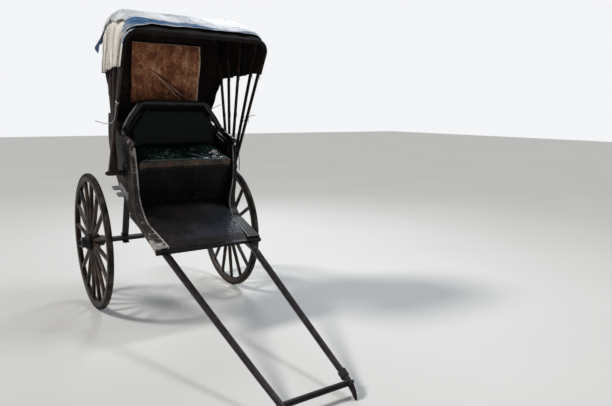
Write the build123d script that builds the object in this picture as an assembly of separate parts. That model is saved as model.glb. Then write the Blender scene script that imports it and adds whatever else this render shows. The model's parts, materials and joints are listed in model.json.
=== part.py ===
from build123d import *
from math import asin, atan2, cos, degrees, hypot, pi, radians, sin, tan
import os

# Hand-pulled rickshaw, parked on its two wheels and the tips of its shafts.
# Row frame: X forward, Y to the left, Z up, origin on the ground below the middle of the
# parked vehicle's outline. Everything is drawn in the travelling frame first: origin at the
# middle of the axle, X forward along the level body, Z up. park() then tips it nose down
# about the axle until the shaft tips stand on the ground.

# Wheels and axle
WHEEL_R = 510.0
TRACK = 1120.0
TYRE_W = 34.0
TYRE_H = 24.0
TREAD_RISE = 8.0
FELLOE_W = 38.0
FELLOE_H = 38.0
FELLOE_CUT = 7.0
SPOKE_COUNT = 16
SPOKE_R_HUB = 16.0
SPOKE_R_RIM = 13.5
SPOKE_SET = 8.0
SPOKE_ROOT = 12.0
SPOKE_TURN_LEFT = 9.0
HUB_LEN = 160.0
HUB_R_MID = 62.0
HUB_R_END = 38.0
HUB_BELLY_LEN = 84.0
HUB_STEP = 6.0
HUB_BAND_W = 16.0
HUB_BAND_T = 4.0
HUB_BAND_LIP = 1.5
HUB_BAND_NOSE = 3.0
JOURNAL_R = 14.0
JOURNAL_CLEAR = 0.05
AXLE_SIDE = 30.0
COLLAR_R = 24.0
COLLAR_W = 7.0
END_PLAY = 1.0
NUT_R = 21.0
NUT_W = 22.0
WASHER_T = 5.0
WASHER_RIM = 7.0
AXLE_STUB = 8.0

# Body: side profile
SILL_TOP = 357.0
RAIL_T = 25.0
SILL_FRONT = 788.0
RAIL_OUT = 380.0
RAIL_NOSE_Y = 284.0
RAIL_TAPER = 0.094
RAIL_TURN = (385.0, 415.0)
RAIL_INNER = ((345.5, 660.0), (339.0, 525.0), (322.0, 415.0))
RAIL_HEEL = (500.0, 362.0)
RAIL_MID = RAIL_TURN
RAIL_KNEE = (343.0, 530.0)
RAIL_SWAY = (326.0, 612.0)
RAIL_HIP = (303.0, 691.0)
BELLY_FRONT = 440.0
BELLY_R = 1000.0
BELLY_END = -205.0
STERN_R = 280.0
TUB_TOP = 900.0
ARM_TOP = 831.5
RAIL_TOP = (236.0, ARM_TOP)
ARM_REAR = -50.0
SHELF_LEN = 62.0
PANEL_OUT = 377.0
PANEL_T = 22.0
FLARE = 2.0
BOARD_T = 12.0

# Floor, seat and back
FLOOR_T = 18.0
FLOOR_REAR = (278.0, 399.7)
FLOOR_FRONT = (790.0, 347.0)
FLOOR_CLEAR = 0.5
FRONT_RAIL_D = 26.0
FRONT_RAIL_H = 24.0
BEARER_D = 40.0
SEAT_TOP = 690.0
SEAT_T = 15.0
SEAT_REAR = -30.0
SEATBOX_FRONT = 276.0
CUSHION_H = 55.0
CUSHION_FRONT = 296.0
CUSHION_REAR = 4.0
CUSHION_ROUND = 16.0
BACK_FOOT = 45.0
BACK_RAKE = 17.6
BACK_PAD_T = 60.0
BACK_BOARD_T = 14.0
BACK_HALF = 343.0
BACK_LOW = 18.0
LEDGE_CLEAR = 3.0
LEDGE_DROP = 24.0
SIDE_PAD_T = 25.0
SIDE_PAD_DROP = 3.0
SIDE_PAD_CLEAR = 3.0
ROLL_R = 25.0
ROLL_FRONT = (212.0, 386.0)
ROLL_ELBOW = (2.0, 382.0)
ROLL_SHOULDER = (-30.0, 322.0, 952.0)
ROLL_CORNER = (-60.0, 240.0, 1058.0)
ROLL_BENDS = (110.0, 110.0, 55.0)
SOFT_GAP = 0.4

# Posts, clamps and side lugs
POST_Y = 320.0
POST_W = 46.0
POST_T = 16.0
FOOT_LEN = 78.0
FOOT_T = 10.0
HEAD_LEN = 120.0
HEAD_T = 8.0
CLAMP_BOLT_R = 5.0
CLAMP_HEAD_R = 9.0
CLAMP_HEAD_T = 6.0
CLAMP_BOLT_OUT = 8.0
POST_SPREAD = 7.0
POST_LET_IN = 5.0
CLAMP_BOLT_U = 27.0
CLAMP_T = 8.0
LUG_W = 464.0
LUG_T = 8.0
LUG_LEN = 60.0
LUG_TIP = 450.0
LUG_HOLE_R = 7.0
LUG_U = (66.0, 177.0)
LUG_PLATE_T = 6.0
LUG_PLATE_H = 56.0

# Shafts and pull bar. The bar's axis lies BAR_U ahead of the axle and BAR_W above it.
SHAFT_SEAT = 1.5
SHAFT_TOP = SILL_TOP - RAIL_T + SHAFT_SEAT
SHAFT_W = 41.0
SHAFT_Z = SHAFT_TOP - SHAFT_W / 2
SHAFT_REAR = 225.0
SHAFT_NECK = 760.0
BAR_U = 2135.0
BAR_W = 226.0
BAR_Y = 211.0
BAR_SHAFT_W = 35.0


def shaft_x(share):
    """A place along the free run of the shaft, between the body and the bar."""
    return SHAFT_NECK + share * (BAR_U - SHAFT_NECK)


# Stations of the left shaft's centre line (x, y, z), width, squareness (1 square, 0 round)
SHAFT_STATIONS = (
    (SHAFT_REAR, 348.0, SHAFT_Z, SHAFT_W, 0.8),
    (SHAFT_NECK, 310.5, SHAFT_Z, SHAFT_W, 0.8),
    (shaft_x(0.10), 300.5, 302.0, 40.5, 0.7),
    (shaft_x(0.175), 293.5, 294.5, 40.0, 0.6),
    (shaft_x(0.54), 258.5, 262.0, 38.0, 0.3),
    (shaft_x(0.865), 226.5, 236.0, 35.5, 0.1),
    (BAR_U - 23.0, BAR_Y + 3.0, BAR_W + 3.0, BAR_SHAFT_W, 0.0),
    (BAR_U + 20.0, BAR_Y - 2.0, BAR_W - 3.0, BAR_SHAFT_W, 0.0),
    (BAR_U + 53.0, BAR_Y - 3.0, BAR_W - 20.0, 27.0, 0.0),
)
TIP = (BAR_U + 75.0, BAR_Y - 1.0, BAR_W - 44.0)
TIP_R = 8.0
BAR_R = 16.5
BAR_TENON_R = 10.0
BAR_TENON_OUT = 8.0
BAR_CLEAR = 0.1

# Folding hood: bows from the rear one to the front one
PIVOT = (95.0, 590.0)
PIVOT_R = 8.0
PIVOT_CLEAR = 0.05
PIVOT_HEAD_R = 15.0
PIVOT_HEAD_T = 9.0
BOSS_R = 17.0
BOW_INNER = 427.0
BOW_PITCH = 13.4
LATH_T = 13.0
LATH_W = 28.0
LATH_BEVEL = 4.5
LATH_TOP_T = 14.0
EYE_R = 18.0
BOW_CORNER = 92.0
BOWS = ((116.0, 1010.0), (107.5, 1060.0), (97.0, 1085.0), (84.5, 1074.0), (78.5, 1056.0))
SKIRT_W = (1222.0, 1262.0, 1312.0, 1366.0, 1386.0)
CLOTH_T = 4.0
CLOTH_GAP = 4.2
CLOTH_SPLIT = 0.03
BAND_H = 25.0
BAND_SIDE = 18.0
CURTAIN_SIDE = 376.0
CURTAIN_CORNER = 60.0
CURTAIN_WRAP = 62.0

# Loose tie cord out of the left rail's outer face: where it starts, and its runs as it hangs
CORD_R = 3.0
CORD_TOP = (240.0, 806.0)
CORD_OUT = 18.0
CORD_RUNS = ((0.0, 5.0, -30.0), (4.0, 3.0, -46.0), (-3.0, 2.0, -46.0), (3.0, -2.0, -44.0))
CORD_BEND = 0.45

HALF = TRACK / 2
NECK_Y = HALF - HUB_LEN / 2
FLARE_T = tan(radians(FLARE))
PANEL_IN = PANEL_OUT - PANEL_T
SILL_BOTTOM = SILL_TOP - RAIL_T
HIGH = 2000.0
WIDE = 1.25 * RAIL_OUT

tip_reach = hypot(TIP[0], TIP[2])
tip_drop = asin((WHEEL_R - TIP_R) / tip_reach)
TILT = degrees(atan2(TIP[2], TIP[0]) + tip_drop)
MIDDLE = (tip_reach * cos(tip_drop) + TIP_R - WHEEL_R) / 2


def park(shape):
    """Tip the level rickshaw about its axle, stand it on the ground and centre it there."""
    return Pos(-MIDDLE, 0, WHEEL_R) * Rot(0, TILT, 0) * shape


def save(shape, name):
    """Write one piece, parked, to its own file."""
    posed = park(shape)
    posed.label = name
    export_step(posed, f"parts/{name}.step")


def both(shape, name):
    """Write a left piece and its mirror image on the right."""
    save(shape, f"{name}_left")
    save(mirror(shape, about=Plane.XZ), f"{name}_right")


def block(x0, x1, y0, y1, z0, z1):
    """A box given by its limits."""
    return Pos((x0 + x1) / 2, (y0 + y1) / 2, (z0 + z1) / 2) * Box(x1 - x0, y1 - y0, z1 - z0)


def slab(edges, y0, y1):
    """A closed outline in the XZ plane, filled and stretched from y0 to y1."""
    face = make_face(edges)
    wide = extrude(face, amount=y1 - y0, dir=(0, 1, 0))
    return Pos(0, y0, 0) * wide


def at(point, y=0.0):
    """A point of the side profile as a point in space."""
    return Vector(point[0], y, point[1])


def flare(shape):
    """Lean a left side piece outward about the line of the sill."""
    hinge = Pos(0, PANEL_IN, SILL_BOTTOM)
    return hinge * Rot(-FLARE, 0, 0) * hinge.inverse() * shape


def rod(radius, y0, y1, x=0.0, z=0.0):
    """A round bar along Y."""
    return Pos(x, (y0 + y1) / 2, z) * Rot(90, 0, 0) * Cylinder(radius, y1 - y0)


def turned(profile):
    """Turn a closed (radius, y) outline about the Y axis."""
    points = [Vector(r, y, 0) for r, y in profile]
    return revolve(make_face(Polyline(points, close=True)), Axis.Y)


# Side profile of the body
def belly_z(x):
    """Height of the belly's lower face over its long arc."""
    return SILL_BOTTOM + BELLY_R - (BELLY_R ** 2 - (BELLY_FRONT - x) ** 2) ** 0.5


def belly_edges(inset):
    """Belly arc, stern arc and stern line, moved inward by inset, from the front to the top."""
    slope = asin((BELLY_FRONT - BELLY_END) / BELLY_R)
    r1 = BELLY_R - inset
    r2 = STERN_R - inset
    c1 = Vector(BELLY_FRONT, 0, SILL_BOTTOM + BELLY_R)
    c2 = c1 + Vector(-sin(slope), 0, -cos(slope)) * (BELLY_R - STERN_R)
    start = c1 + Vector(0, 0, -r1)
    half = c1 + Vector(-sin(slope / 2), 0, -cos(slope / 2)) * r1
    joint = c1 + Vector(-sin(slope), 0, -cos(slope)) * r1
    turn = (slope + radians(90)) / 2
    bend = c2 + Vector(-sin(turn), 0, -cos(turn)) * r2
    stern = c2 + Vector(-r2, 0, 0)
    top = Vector(stern.X, 0, TUB_TOP)
    return start, half, joint, bend, stern, top


def belly_curve(inset):
    start, half, joint, bend, stern, top = belly_edges(inset)
    arcs = [ThreePointArc(start, half, joint), ThreePointArc(joint, bend, stern)]
    return arcs + [Line(stern, top)], start, top


STERN = belly_edges(0.0)[5].X


def rail_outline(back):
    """Points of the rail's curve, moved back from its front face by the given distance."""
    nose = Vector(SILL_FRONT, 0, SILL_TOP - back)
    heel = Vector(RAIL_HEEL[0] - 2, 0, RAIL_HEEL[1] - back)
    mid = Vector(RAIL_MID[0] - back * 0.62, 0, RAIL_MID[1] - back * 0.78)
    knee = Vector(RAIL_KNEE[0] - back, 0, RAIL_KNEE[1] - back * 0.12)
    sway = Vector(RAIL_SWAY[0] - back * 0.98, 0, RAIL_SWAY[1] - back * 0.2)
    hip = Vector(RAIL_HIP[0] - back * 0.94, 0, RAIL_HIP[1] - back * 0.34)
    lean = atan2(RAIL_HIP[0] - RAIL_TOP[0], RAIL_TOP[1] - RAIL_HIP[1])
    top = Vector(RAIL_TOP[0] - back / cos(lean), 0, RAIL_TOP[1])
    return nose, heel, mid, knee, sway, hip, top


def rail_edges(back):
    nose, heel, mid, knee, sway, hip, top = rail_outline(back)
    edges = [Line(nose, heel), ThreePointArc(heel, mid, knee), ThreePointArc(knee, sway, hip), Line(hip, top)]
    return edges, nose, top


def nose_y(x):
    """Inner edge of the left rail's lower run, which draws in toward the front."""
    return RAIL_NOSE_Y + (SILL_FRONT - x) * RAIL_TAPER


def beside_rail():
    """All the space inward of the left rail: below its turn by x, above it by height."""
    turn_x, turn_z = RAIL_TURN
    rear = (turn_x, RAIL_INNER[-1][0])
    low = Polyline(
        (HIGH, nose_y(SILL_FRONT), 0), (SILL_FRONT, nose_y(SILL_FRONT), 0), (*rear, 0), (-HIGH, rear[1], 0),
        (-HIGH, -HIGH, 0), (HIGH, -HIGH, 0), close=True,
    )
    low_part = extrude(make_face(low), amount=turn_z, dir=(0, 0, 1))
    upper, middle, lower = (Vector(0, y, z) for y, z in RAIL_INNER)
    rise = Vector(0, upper.Y, HIGH)
    edges = [ThreePointArc(lower, middle, upper), Line(upper, rise)]
    edges += Polyline(rise, (0, -HIGH, HIGH), (0, -HIGH, turn_z), lower).edges()
    high_part = Pos(-HIGH, 0, 0) * extrude(make_face(edges), amount=2 * HIGH, dir=(1, 0, 0))
    return low_part, high_part


def side_parts():
    """Left front rail and left side panel, leaning."""
    front, nose, top = rail_edges(0.0)
    back, nose_b, top_b = rail_edges(RAIL_T)
    rail = slab(front + back + [Line(nose, nose_b), Line(top, top_b)], 0.0, RAIL_OUT)
    for space in beside_rail():
        rail -= space
    belly, start, stern = belly_curve(0.0)
    heel_b = rail_outline(RAIL_T)[1]
    arm_rear = Vector(ARM_REAR, 0, ARM_TOP)
    shelf = Vector(STERN + SHELF_LEN, 0, TUB_TOP)
    edges = [Line(heel_b, start)] + belly + back[1:]
    edges += [Line(top_b, arm_rear), Line(arm_rear, shelf), Line(shelf, stern)]
    panel = slab(edges, PANEL_IN, PANEL_OUT)
    return flare(rail), flare(panel)


def rail_back(z):
    """Rear face of the rail's straight top run at a height."""
    slope = (RAIL_HIP[0] - RAIL_TOP[0]) / (RAIL_TOP[1] - RAIL_HIP[1])
    return RAIL_HIP[0] - (z - RAIL_HIP[1]) * slope - RAIL_T * hypot(1, slope)


def trim_sides(shape, clear=0.0):
    """Cut a cross piece off at the inner faces of the two leaning side panels."""
    outside = flare(block(-HIGH, HIGH, PANEL_IN - clear, PANEL_IN + HIGH, -HIGH, HIGH))
    return shape - outside - mirror(outside, about=Plane.XZ)


def floor_z(x):
    """Top of the sloping footboard."""
    slope = (FLOOR_FRONT[1] - FLOOR_REAR[1]) / (FLOOR_FRONT[0] - FLOOR_REAR[0])
    return FLOOR_REAR[1] + slope * (x - FLOOR_REAR[0])


def back_x(z):
    """Front face of the back cushion at a height."""
    return BACK_FOOT - (z - SEAT_TOP - CUSHION_H) * tan(radians(BACK_RAKE))


def raked(outline, thick, behind):
    """A (y, z) outline set up on the raked plane of the back and thickened rearward."""
    lean = radians(BACK_RAKE)
    foot = SEAT_TOP + CUSHION_H
    plane = Plane(
        origin=(BACK_FOOT - behind * cos(lean), 0, foot - behind * sin(lean)),
        x_dir=(0, 1, 0),
        z_dir=(cos(lean), 0, sin(lean)),
    )
    points = [plane.from_local_coords((y, (z - foot) / cos(lean) + behind * tan(lean), 0)) for y, z in outline]
    face = make_face(Polyline(points, close=True))
    return extrude(face, amount=thick, dir=(-cos(lean), 0, -sin(lean)))


# Wheels
def wheel(turn):
    """Hub, bands, spokes, felloe and tyre of a left wheel, in place, its spokes turned on."""
    half_t = TYRE_W / 2
    seat = WHEEL_R - TYRE_H
    inner = seat - FELLOE_H
    tread = ThreePointArc((WHEEL_R - TREAD_RISE, -half_t, 0), (WHEEL_R, 0, 0), (WHEEL_R - TREAD_RISE, half_t, 0))
    wall = Polyline((WHEEL_R - TREAD_RISE, half_t, 0), (seat, half_t, 0), (seat, -half_t, 0), (WHEEL_R - TREAD_RISE, -half_t, 0))
    tyre = revolve(make_face([tread] + wall.edges()), Axis.Y)
    half_f = FELLOE_W / 2
    felloe = turned([
        (seat, -half_f), (seat, half_f), (inner + FELLOE_CUT, half_f),
        (inner, half_f - FELLOE_CUT), (inner, FELLOE_CUT - half_f), (inner + FELLOE_CUT, -half_f),
    ])
    half_h = HUB_LEN / 2
    half_b = HUB_BELLY_LEN / 2
    bore = JOURNAL_R + JOURNAL_CLEAR
    shoulder = half_h - HUB_BAND_W - HUB_STEP
    belly_in = HUB_R_MID - HUB_STEP
    flat = half_b - HUB_STEP
    wood_end = HUB_R_END - HUB_BAND_T
    hub = turned([
        (bore, -half_h), (wood_end, -half_h), (wood_end, -shoulder), (HUB_R_END, -shoulder),
        (belly_in, -half_b), (HUB_R_MID, -flat), (HUB_R_MID, flat), (belly_in, half_b),
        (HUB_R_END, shoulder), (wood_end, shoulder), (wood_end, half_h), (bore, half_h),
    ])
    band_r = HUB_R_END + HUB_BAND_LIP
    band = turned([
        (wood_end, shoulder), (band_r, shoulder), (band_r, half_h - HUB_BAND_NOSE),
        (HUB_R_END - HUB_BAND_LIP / 3, half_h), (wood_end, half_h),
    ])
    bands = Compound([band.solid(), mirror(band, about=Plane.XZ).solid()])
    root = HUB_R_MID - SPOKE_ROOT
    tip = inner + SPOKE_SET
    spoke = Pos(0, 0, (root + tip) / 2) * Cone(SPOKE_R_HUB, SPOKE_R_RIM, tip - root)
    drum = rod(HUB_R_MID, -flat, flat)
    spoke = (spoke - drum) & rod(inner, -half_b, half_b)
    step = 360 / SPOKE_COUNT
    spokes = [Rot(0, step * (i + 0.5) + turn, 0) * spoke.solid() for i in range(SPOKE_COUNT)]
    place = Pos(0, HALF, 0)
    return {
        "hub": place * hub,
        "hub_bands": place * bands,
        "spokes": place * Compound(spokes),
        "felloe": place * felloe,
        "tyre": place * tyre,
    }


os.makedirs("parts", exist_ok=True)
for piece, shape in wheel(SPOKE_TURN_LEFT).items():
    save(shape, f"wheel_left_{piece}")
for piece, shape in wheel(0.0).items():
    save(mirror(shape, about=Plane.XZ), f"wheel_right_{piece}")

# Axle and its end nuts
collar_in = NECK_Y - END_PLAY - COLLAR_W
hub_out = HALF + HUB_LEN / 2
nut_in = hub_out + END_PLAY
axle_end = nut_in + NUT_W + AXLE_STUB
axle = block(-AXLE_SIDE / 2, AXLE_SIDE / 2, -collar_in, collar_in, -AXLE_SIDE / 2, AXLE_SIDE / 2)
axle += rod(JOURNAL_R, -axle_end, axle_end)
axle += rod(COLLAR_R, collar_in, collar_in + COLLAR_W) + rod(COLLAR_R, -collar_in - COLLAR_W, -collar_in)
save(axle, "axle")
half_nut = (NUT_W - WASHER_T) / 2
hexagon = Pos(0, nut_in + WASHER_T + half_nut, 0) * Rot(90, 0, 0) * extrude(
    RegularPolygon(NUT_R, 6), amount=half_nut, both=True
)
nut = hexagon + rod(NUT_R + WASHER_RIM, nut_in, nut_in + WASHER_T)
nut -= rod(JOURNAL_R, nut_in - 1, axle_end + 1)
both(nut, "axle_nut")

# Posts that carry the body on the axle
belly_fill, belly_start, belly_top = belly_curve(0.0)
above = slab(
    belly_fill + [Line(belly_top, (BELLY_FRONT, 0, TUB_TOP)), Line((BELLY_FRONT, 0, TUB_TOP), belly_start)],
    -RAIL_OUT, RAIL_OUT,
)
head_edges, head_start, head_top = belly_curve(-HEAD_T)
head_solid = slab(
    head_edges + [Line(head_top, (BELLY_FRONT, 0, TUB_TOP)), Line((BELLY_FRONT, 0, TUB_TOP), head_start)],
    POST_Y - POST_W / 2 - POST_SPREAD, PANEL_IN - 1,
)
head = head_solid & block(-HEAD_LEN / 2, HEAD_LEN / 2, 0, RAIL_OUT, 0, TUB_TOP)
post_top = belly_z(-POST_T / 2) + POST_LET_IN
foot_z = AXLE_SIDE / 2
post = block(-POST_T / 2, POST_T / 2, POST_Y - POST_W / 2, POST_Y + POST_W / 2, foot_z, post_top)
post += block(-FOOT_LEN / 2, FOOT_LEN / 2, POST_Y - POST_W / 2, POST_Y + POST_W / 2, foot_z, foot_z + FOOT_T)
post = (post + head) - above
for side in (-1, 1):
    bolt_hole = Pos(side * CLAMP_BOLT_U, POST_Y, foot_z + FOOT_T / 2)
    post -= bolt_hole * Cylinder(CLAMP_BOLT_R + 0.3, FOOT_T + 2)
both(post, "post")
clamp = block(
    -FOOT_LEN / 2, FOOT_LEN / 2, POST_Y - POST_W / 2, POST_Y + POST_W / 2, -foot_z - CLAMP_T, -foot_z
)
for side in (-1, 1):
    low = -foot_z - CLAMP_T - CLAMP_HEAD_T
    high = foot_z + FOOT_T + CLAMP_BOLT_OUT
    clamp += Pos(side * CLAMP_BOLT_U, POST_Y, (low + high) / 2) * Cylinder(CLAMP_BOLT_R, high - low)
    for head_z in (low, foot_z + FOOT_T):
        hexagon = extrude(RegularPolygon(CLAMP_HEAD_R, 6), amount=CLAMP_HEAD_T)
        clamp += Pos(side * CLAMP_BOLT_U, POST_Y, head_z) * hexagon
both(clamp, "axle_clamp")

# Shafts and pull bar
def section(plane, width, square, count=12):
    """A rounded section, between round and square, as a polygon in the given plane."""
    points = []
    for i in range(count):
        a = 2 * pi * (i + 0.5) / count
        c, s = cos(a), sin(a)
        reach = 1 / max(abs(c), abs(s))
        r = width / 2 * ((1 - square) + square * min(reach, 1.26))
        points.append(plane.from_local_coords((r * c, r * s, 0)))
    return Face(Wire.make_polygon(points))


def shaft():
    """Left shaft: straight-sided segments between the stations, ending in the turned-down tip."""
    stations = list(SHAFT_STATIONS) + [(TIP[0], TIP[1], TIP[2], 2 * TIP_R, 0.0)]
    points = [Vector(s[0], s[1], s[2]) for s in stations]
    faces = []
    for i, s in enumerate(stations):
        before = points[max(i - 1, 0)]
        after = points[min(i + 1, len(points) - 1)]
        along = (after - before).normalized()
        plane = Plane(origin=points[i], x_dir=(0, 0, 1), z_dir=along)
        side = plane.z_dir.cross(Vector(0, 0, 1)).normalized()
        plane = Plane(origin=points[i], x_dir=side, z_dir=along)
        faces.append(section(plane, s[3], s[4]))
    body = loft(faces, ruled=True)
    return body + Pos(*TIP) * Sphere(TIP_R)


left_shaft = shaft()
right_shaft = mirror(left_shaft, about=Plane.XZ)
tenon_out = BAR_Y + BAR_SHAFT_W / 2 + BAR_TENON_OUT
hole = rod(BAR_TENON_R + BAR_CLEAR, -2 * tenon_out, 2 * tenon_out, BAR_U, BAR_W)
bar = rod(BAR_R, -BAR_Y, BAR_Y, BAR_U, BAR_W) - left_shaft - right_shaft
bar += rod(BAR_TENON_R, -tenon_out, tenon_out, BAR_U, BAR_W)
save(left_shaft - hole, "shaft_left")
save(right_shaft - hole, "shaft_right")
save(bar, "pull_bar")

# Side rails and panels
rail, panel = side_parts()
both(rail - left_shaft, "side_rail")
both(panel - left_shaft, "side_panel")

# Side lugs with their bolt holes
lug_plate = flare(block(
    LUG_U[0] - LUG_LEN / 2 - 12, LUG_U[1] + LUG_LEN / 2 + 12, PANEL_OUT, PANEL_OUT + LUG_PLATE_T,
    LUG_W - LUG_PLATE_H / 2 - 10, LUG_W + LUG_PLATE_H / 2 - 10,
))
root = PANEL_OUT + (LUG_W - SILL_BOTTOM) * FLARE_T + 2
for u in LUG_U:
    tongue = block(u - LUG_LEN / 2, u + LUG_LEN / 2, root, LUG_TIP, LUG_W - LUG_T, LUG_W)
    tongue = fillet(tongue.edges().filter_by(Axis.Z).group_by(Axis.Y)[-1], 9)
    lug_plate += tongue
    hole_y = (root + LUG_PLATE_T + LUG_TIP) / 2
    lug_plate -= Pos(u, hole_y, LUG_W) * Cylinder(LUG_HOLE_R, 4 * LUG_T)
both(lug_plate, "side_lugs")

# Floor
floor_start = SEATBOX_FRONT + FLOOR_CLEAR
floor_points = [
    (floor_start, floor_z(floor_start)), FLOOR_FRONT,
    (FLOOR_FRONT[0], FLOOR_FRONT[1] - FLOOR_T), (floor_start, floor_z(floor_start) - FLOOR_T),
]
floor_plan = [(x, nose_y(x) - FLOOR_CLEAR) for x in (floor_start, FLOOR_FRONT[0])]
floor_plan += [(x, -y) for x, y in reversed(floor_plan)]
floor_prism = extrude(make_face(Polyline([Vector(*p) for p in floor_plan], close=True)), amount=HIGH, dir=(0, 0, 1))
footboard = slab(Polyline([at(p) for p in floor_points], close=True).edges(), -RAIL_OUT, RAIL_OUT)
save(footboard & floor_prism, "footboard")
front_rail = block(
    FLOOR_FRONT[0] + FLOOR_CLEAR, FLOOR_FRONT[0] + FLOOR_CLEAR + FRONT_RAIL_D,
    -RAIL_OUT, RAIL_OUT, FLOOR_FRONT[1] - FRONT_RAIL_H, FLOOR_FRONT[1] - 1.0,
)
save(front_rail - left_shaft - right_shaft, "front_rail")
bearer_x = BELLY_FRONT - BEARER_D
bearer_points = [
    (bearer_x, belly_z(bearer_x) + BOARD_T + 0.5), (BELLY_FRONT, SILL_BOTTOM + BOARD_T + 0.2),
    (BELLY_FRONT, floor_z(BELLY_FRONT) - FLOOR_T), (bearer_x, floor_z(bearer_x) - FLOOR_T),
]
bearer_half = nose_y(BELLY_FRONT) - FLOOR_CLEAR
bearer = slab(Polyline([at(p) for p in bearer_points], close=True).edges(), -bearer_half, bearer_half)
save(bearer, "floor_bearer")

# Belly, stern and ledge boards
outer_b, start_b, top_b = belly_curve(0.0)
inner_b, start_i, top_i = belly_curve(BOARD_T)
shell = slab(outer_b + inner_b + [Line(start_b, start_i), Line(top_b, top_i)], -WIDE, WIDE)
shell = trim_sides(shell) - left_shaft - right_shaft
cut_z = belly_edges(0.0)[2].Z
save(shell & block(-HIGH, HIGH, -HIGH, HIGH, 0, cut_z), "belly_board")
save(shell & block(-HIGH, HIGH, -HIGH, HIGH, cut_z, HIGH), "stern_board")

# Seat box
seatbox = block(
    SEATBOX_FRONT - SEAT_T, SEATBOX_FRONT, -WIDE, WIDE,
    belly_z(SEATBOX_FRONT - SEAT_T) + BOARD_T + FLOOR_CLEAR, SEAT_TOP - SEAT_T,
)
save(trim_sides(seatbox), "seat_box_front")
deck = block(SEAT_REAR, SEATBOX_FRONT, -WIDE, WIDE, SEAT_TOP - SEAT_T, SEAT_TOP)
save(trim_sides(deck) - rail - mirror(rail, about=Plane.XZ), "seat_board")
cushion_half = RAIL_INNER[0][0] + (SEAT_TOP - SILL_BOTTOM) * FLARE_T - 2 * SOFT_GAP
cushion = block(
    CUSHION_REAR, CUSHION_FRONT, -cushion_half, cushion_half, SEAT_TOP + SOFT_GAP, SEAT_TOP + CUSHION_H
)
cushion = fillet(cushion.edges().group_by(Axis.Z)[-1] + cushion.edges().filter_by(Axis.Z), CUSHION_ROUND)
save(cushion, "seat_cushion")

# Back: board, cushion, ledge and inner side pads
def roll_point(point):
    """Centre of the roll where it rests on the arm's top edge."""
    lean = radians(FLARE)
    edge_y = PANEL_IN + (ARM_TOP - SILL_BOTTOM) * sin(lean)
    edge_z = SILL_BOTTOM + (ARM_TOP - SILL_BOTTOM) * cos(lean)
    return (point[0], point[1], edge_z + (ROLL_R + SOFT_GAP - (point[1] - edge_y) * sin(lean)) / cos(lean))


def under_roll(start, end):
    """The (y, z) line between two points of the roll, moved inward to just clear it."""
    dy = end[1] - start[1]
    dz = end[2] - start[2]
    shift = (ROLL_R + 2 * SOFT_GAP) / hypot(dy, dz)
    return (start[1] - dz * shift, start[2] + dy * shift), (end[1] - dz * shift, end[2] + dy * shift)


def line_rise(start, end):
    """Rise of a (y, z) line for each step inward."""
    return (end[1] - start[1]) / (start[0] - end[0])


pad_low = SEAT_TOP + CUSHION_H + SOFT_GAP
pad_high = ROLL_CORNER[2] - ROLL_R - 2 * SOFT_GAP
low_in, low_out = under_roll(roll_point(ROLL_ELBOW), ROLL_SHOULDER)
high_in, high_out = under_roll(ROLL_SHOULDER, ROLL_CORNER)
pad_side = [
    (BACK_HALF, pad_low), (BACK_HALF, low_in[1] + (low_in[0] - BACK_HALF) * line_rise(low_in, low_out)),
    ((low_out[0] + high_in[0]) / 2, (low_out[1] + high_in[1]) / 2),
    (high_out[0] + (high_out[1] - pad_high) / line_rise(high_in, high_out), pad_high),
]
pad_outline = pad_side + [(-y, z) for y, z in reversed(pad_side)]
pad = raked(pad_outline, BACK_PAD_T - SOFT_GAP, 0.0)
save(pad - block(-HIGH, HIGH, -HIGH, HIGH, 0, pad_low), "back_cushion")
board_side = [(WIDE, SEAT_TOP + BACK_LOW), (WIDE, ARM_TOP)] + pad_side[1:]
board_outline = board_side + [(-y, z) for y, z in reversed(board_side)]
back_board = raked(board_outline, BACK_BOARD_T, BACK_PAD_T)
save(trim_sides(back_board), "back_board")
ledge_front = back_x(TUB_TOP) - (BACK_PAD_T + BACK_BOARD_T) / cos(radians(BACK_RAKE))
ledge = block(STERN + BOARD_T, ledge_front - LEDGE_CLEAR, -WIDE, WIDE, TUB_TOP - LEDGE_DROP - BOARD_T, TUB_TOP - LEDGE_DROP)
ledge_trim = trim_sides(ledge)
save(ledge_trim, "rear_ledge")
rake_cut = (BACK_PAD_T - 2.0) / cos(radians(BACK_RAKE))
side_low = SEAT_TOP + CUSHION_H + 2 * SOFT_GAP
side_high = ARM_TOP - SIDE_PAD_DROP
side_pad_points = [
    (back_x(side_low) - rake_cut, side_low), (rail_back(side_low) - SIDE_PAD_CLEAR, side_low),
    (rail_back(side_high) - SIDE_PAD_CLEAR, side_high), (back_x(side_high) - rake_cut, side_high),
]
side_pad = slab(
    Polyline([at(p) for p in side_pad_points], close=True).edges(),
    PANEL_IN - SIDE_PAD_T, PANEL_IN - SOFT_GAP,
)
both(flare(side_pad), "side_pad")

# Rolled arm and back edge, one length of padding, lying on the leaning arms
left_points = [roll_point(ROLL_FRONT), roll_point(ROLL_ELBOW), ROLL_SHOULDER, ROLL_CORNER]
roll_points = left_points + [(x, -y, z) for x, y, z in reversed(left_points)]
bends = list(ROLL_BENDS) + list(reversed(ROLL_BENDS))
roll_path = FilletPolyline(*roll_points, radius=bends)
start_dir = (Vector(*left_points[1]) - Vector(*left_points[0])).normalized()
roll = sweep(Plane(origin=left_points[0], z_dir=start_dir) * Circle(ROLL_R), path=roll_path)
for end in (roll_points[0], roll_points[-1]):
    roll += Pos(*end) * Sphere(ROLL_R)
save(roll, "arm_roll")

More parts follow.
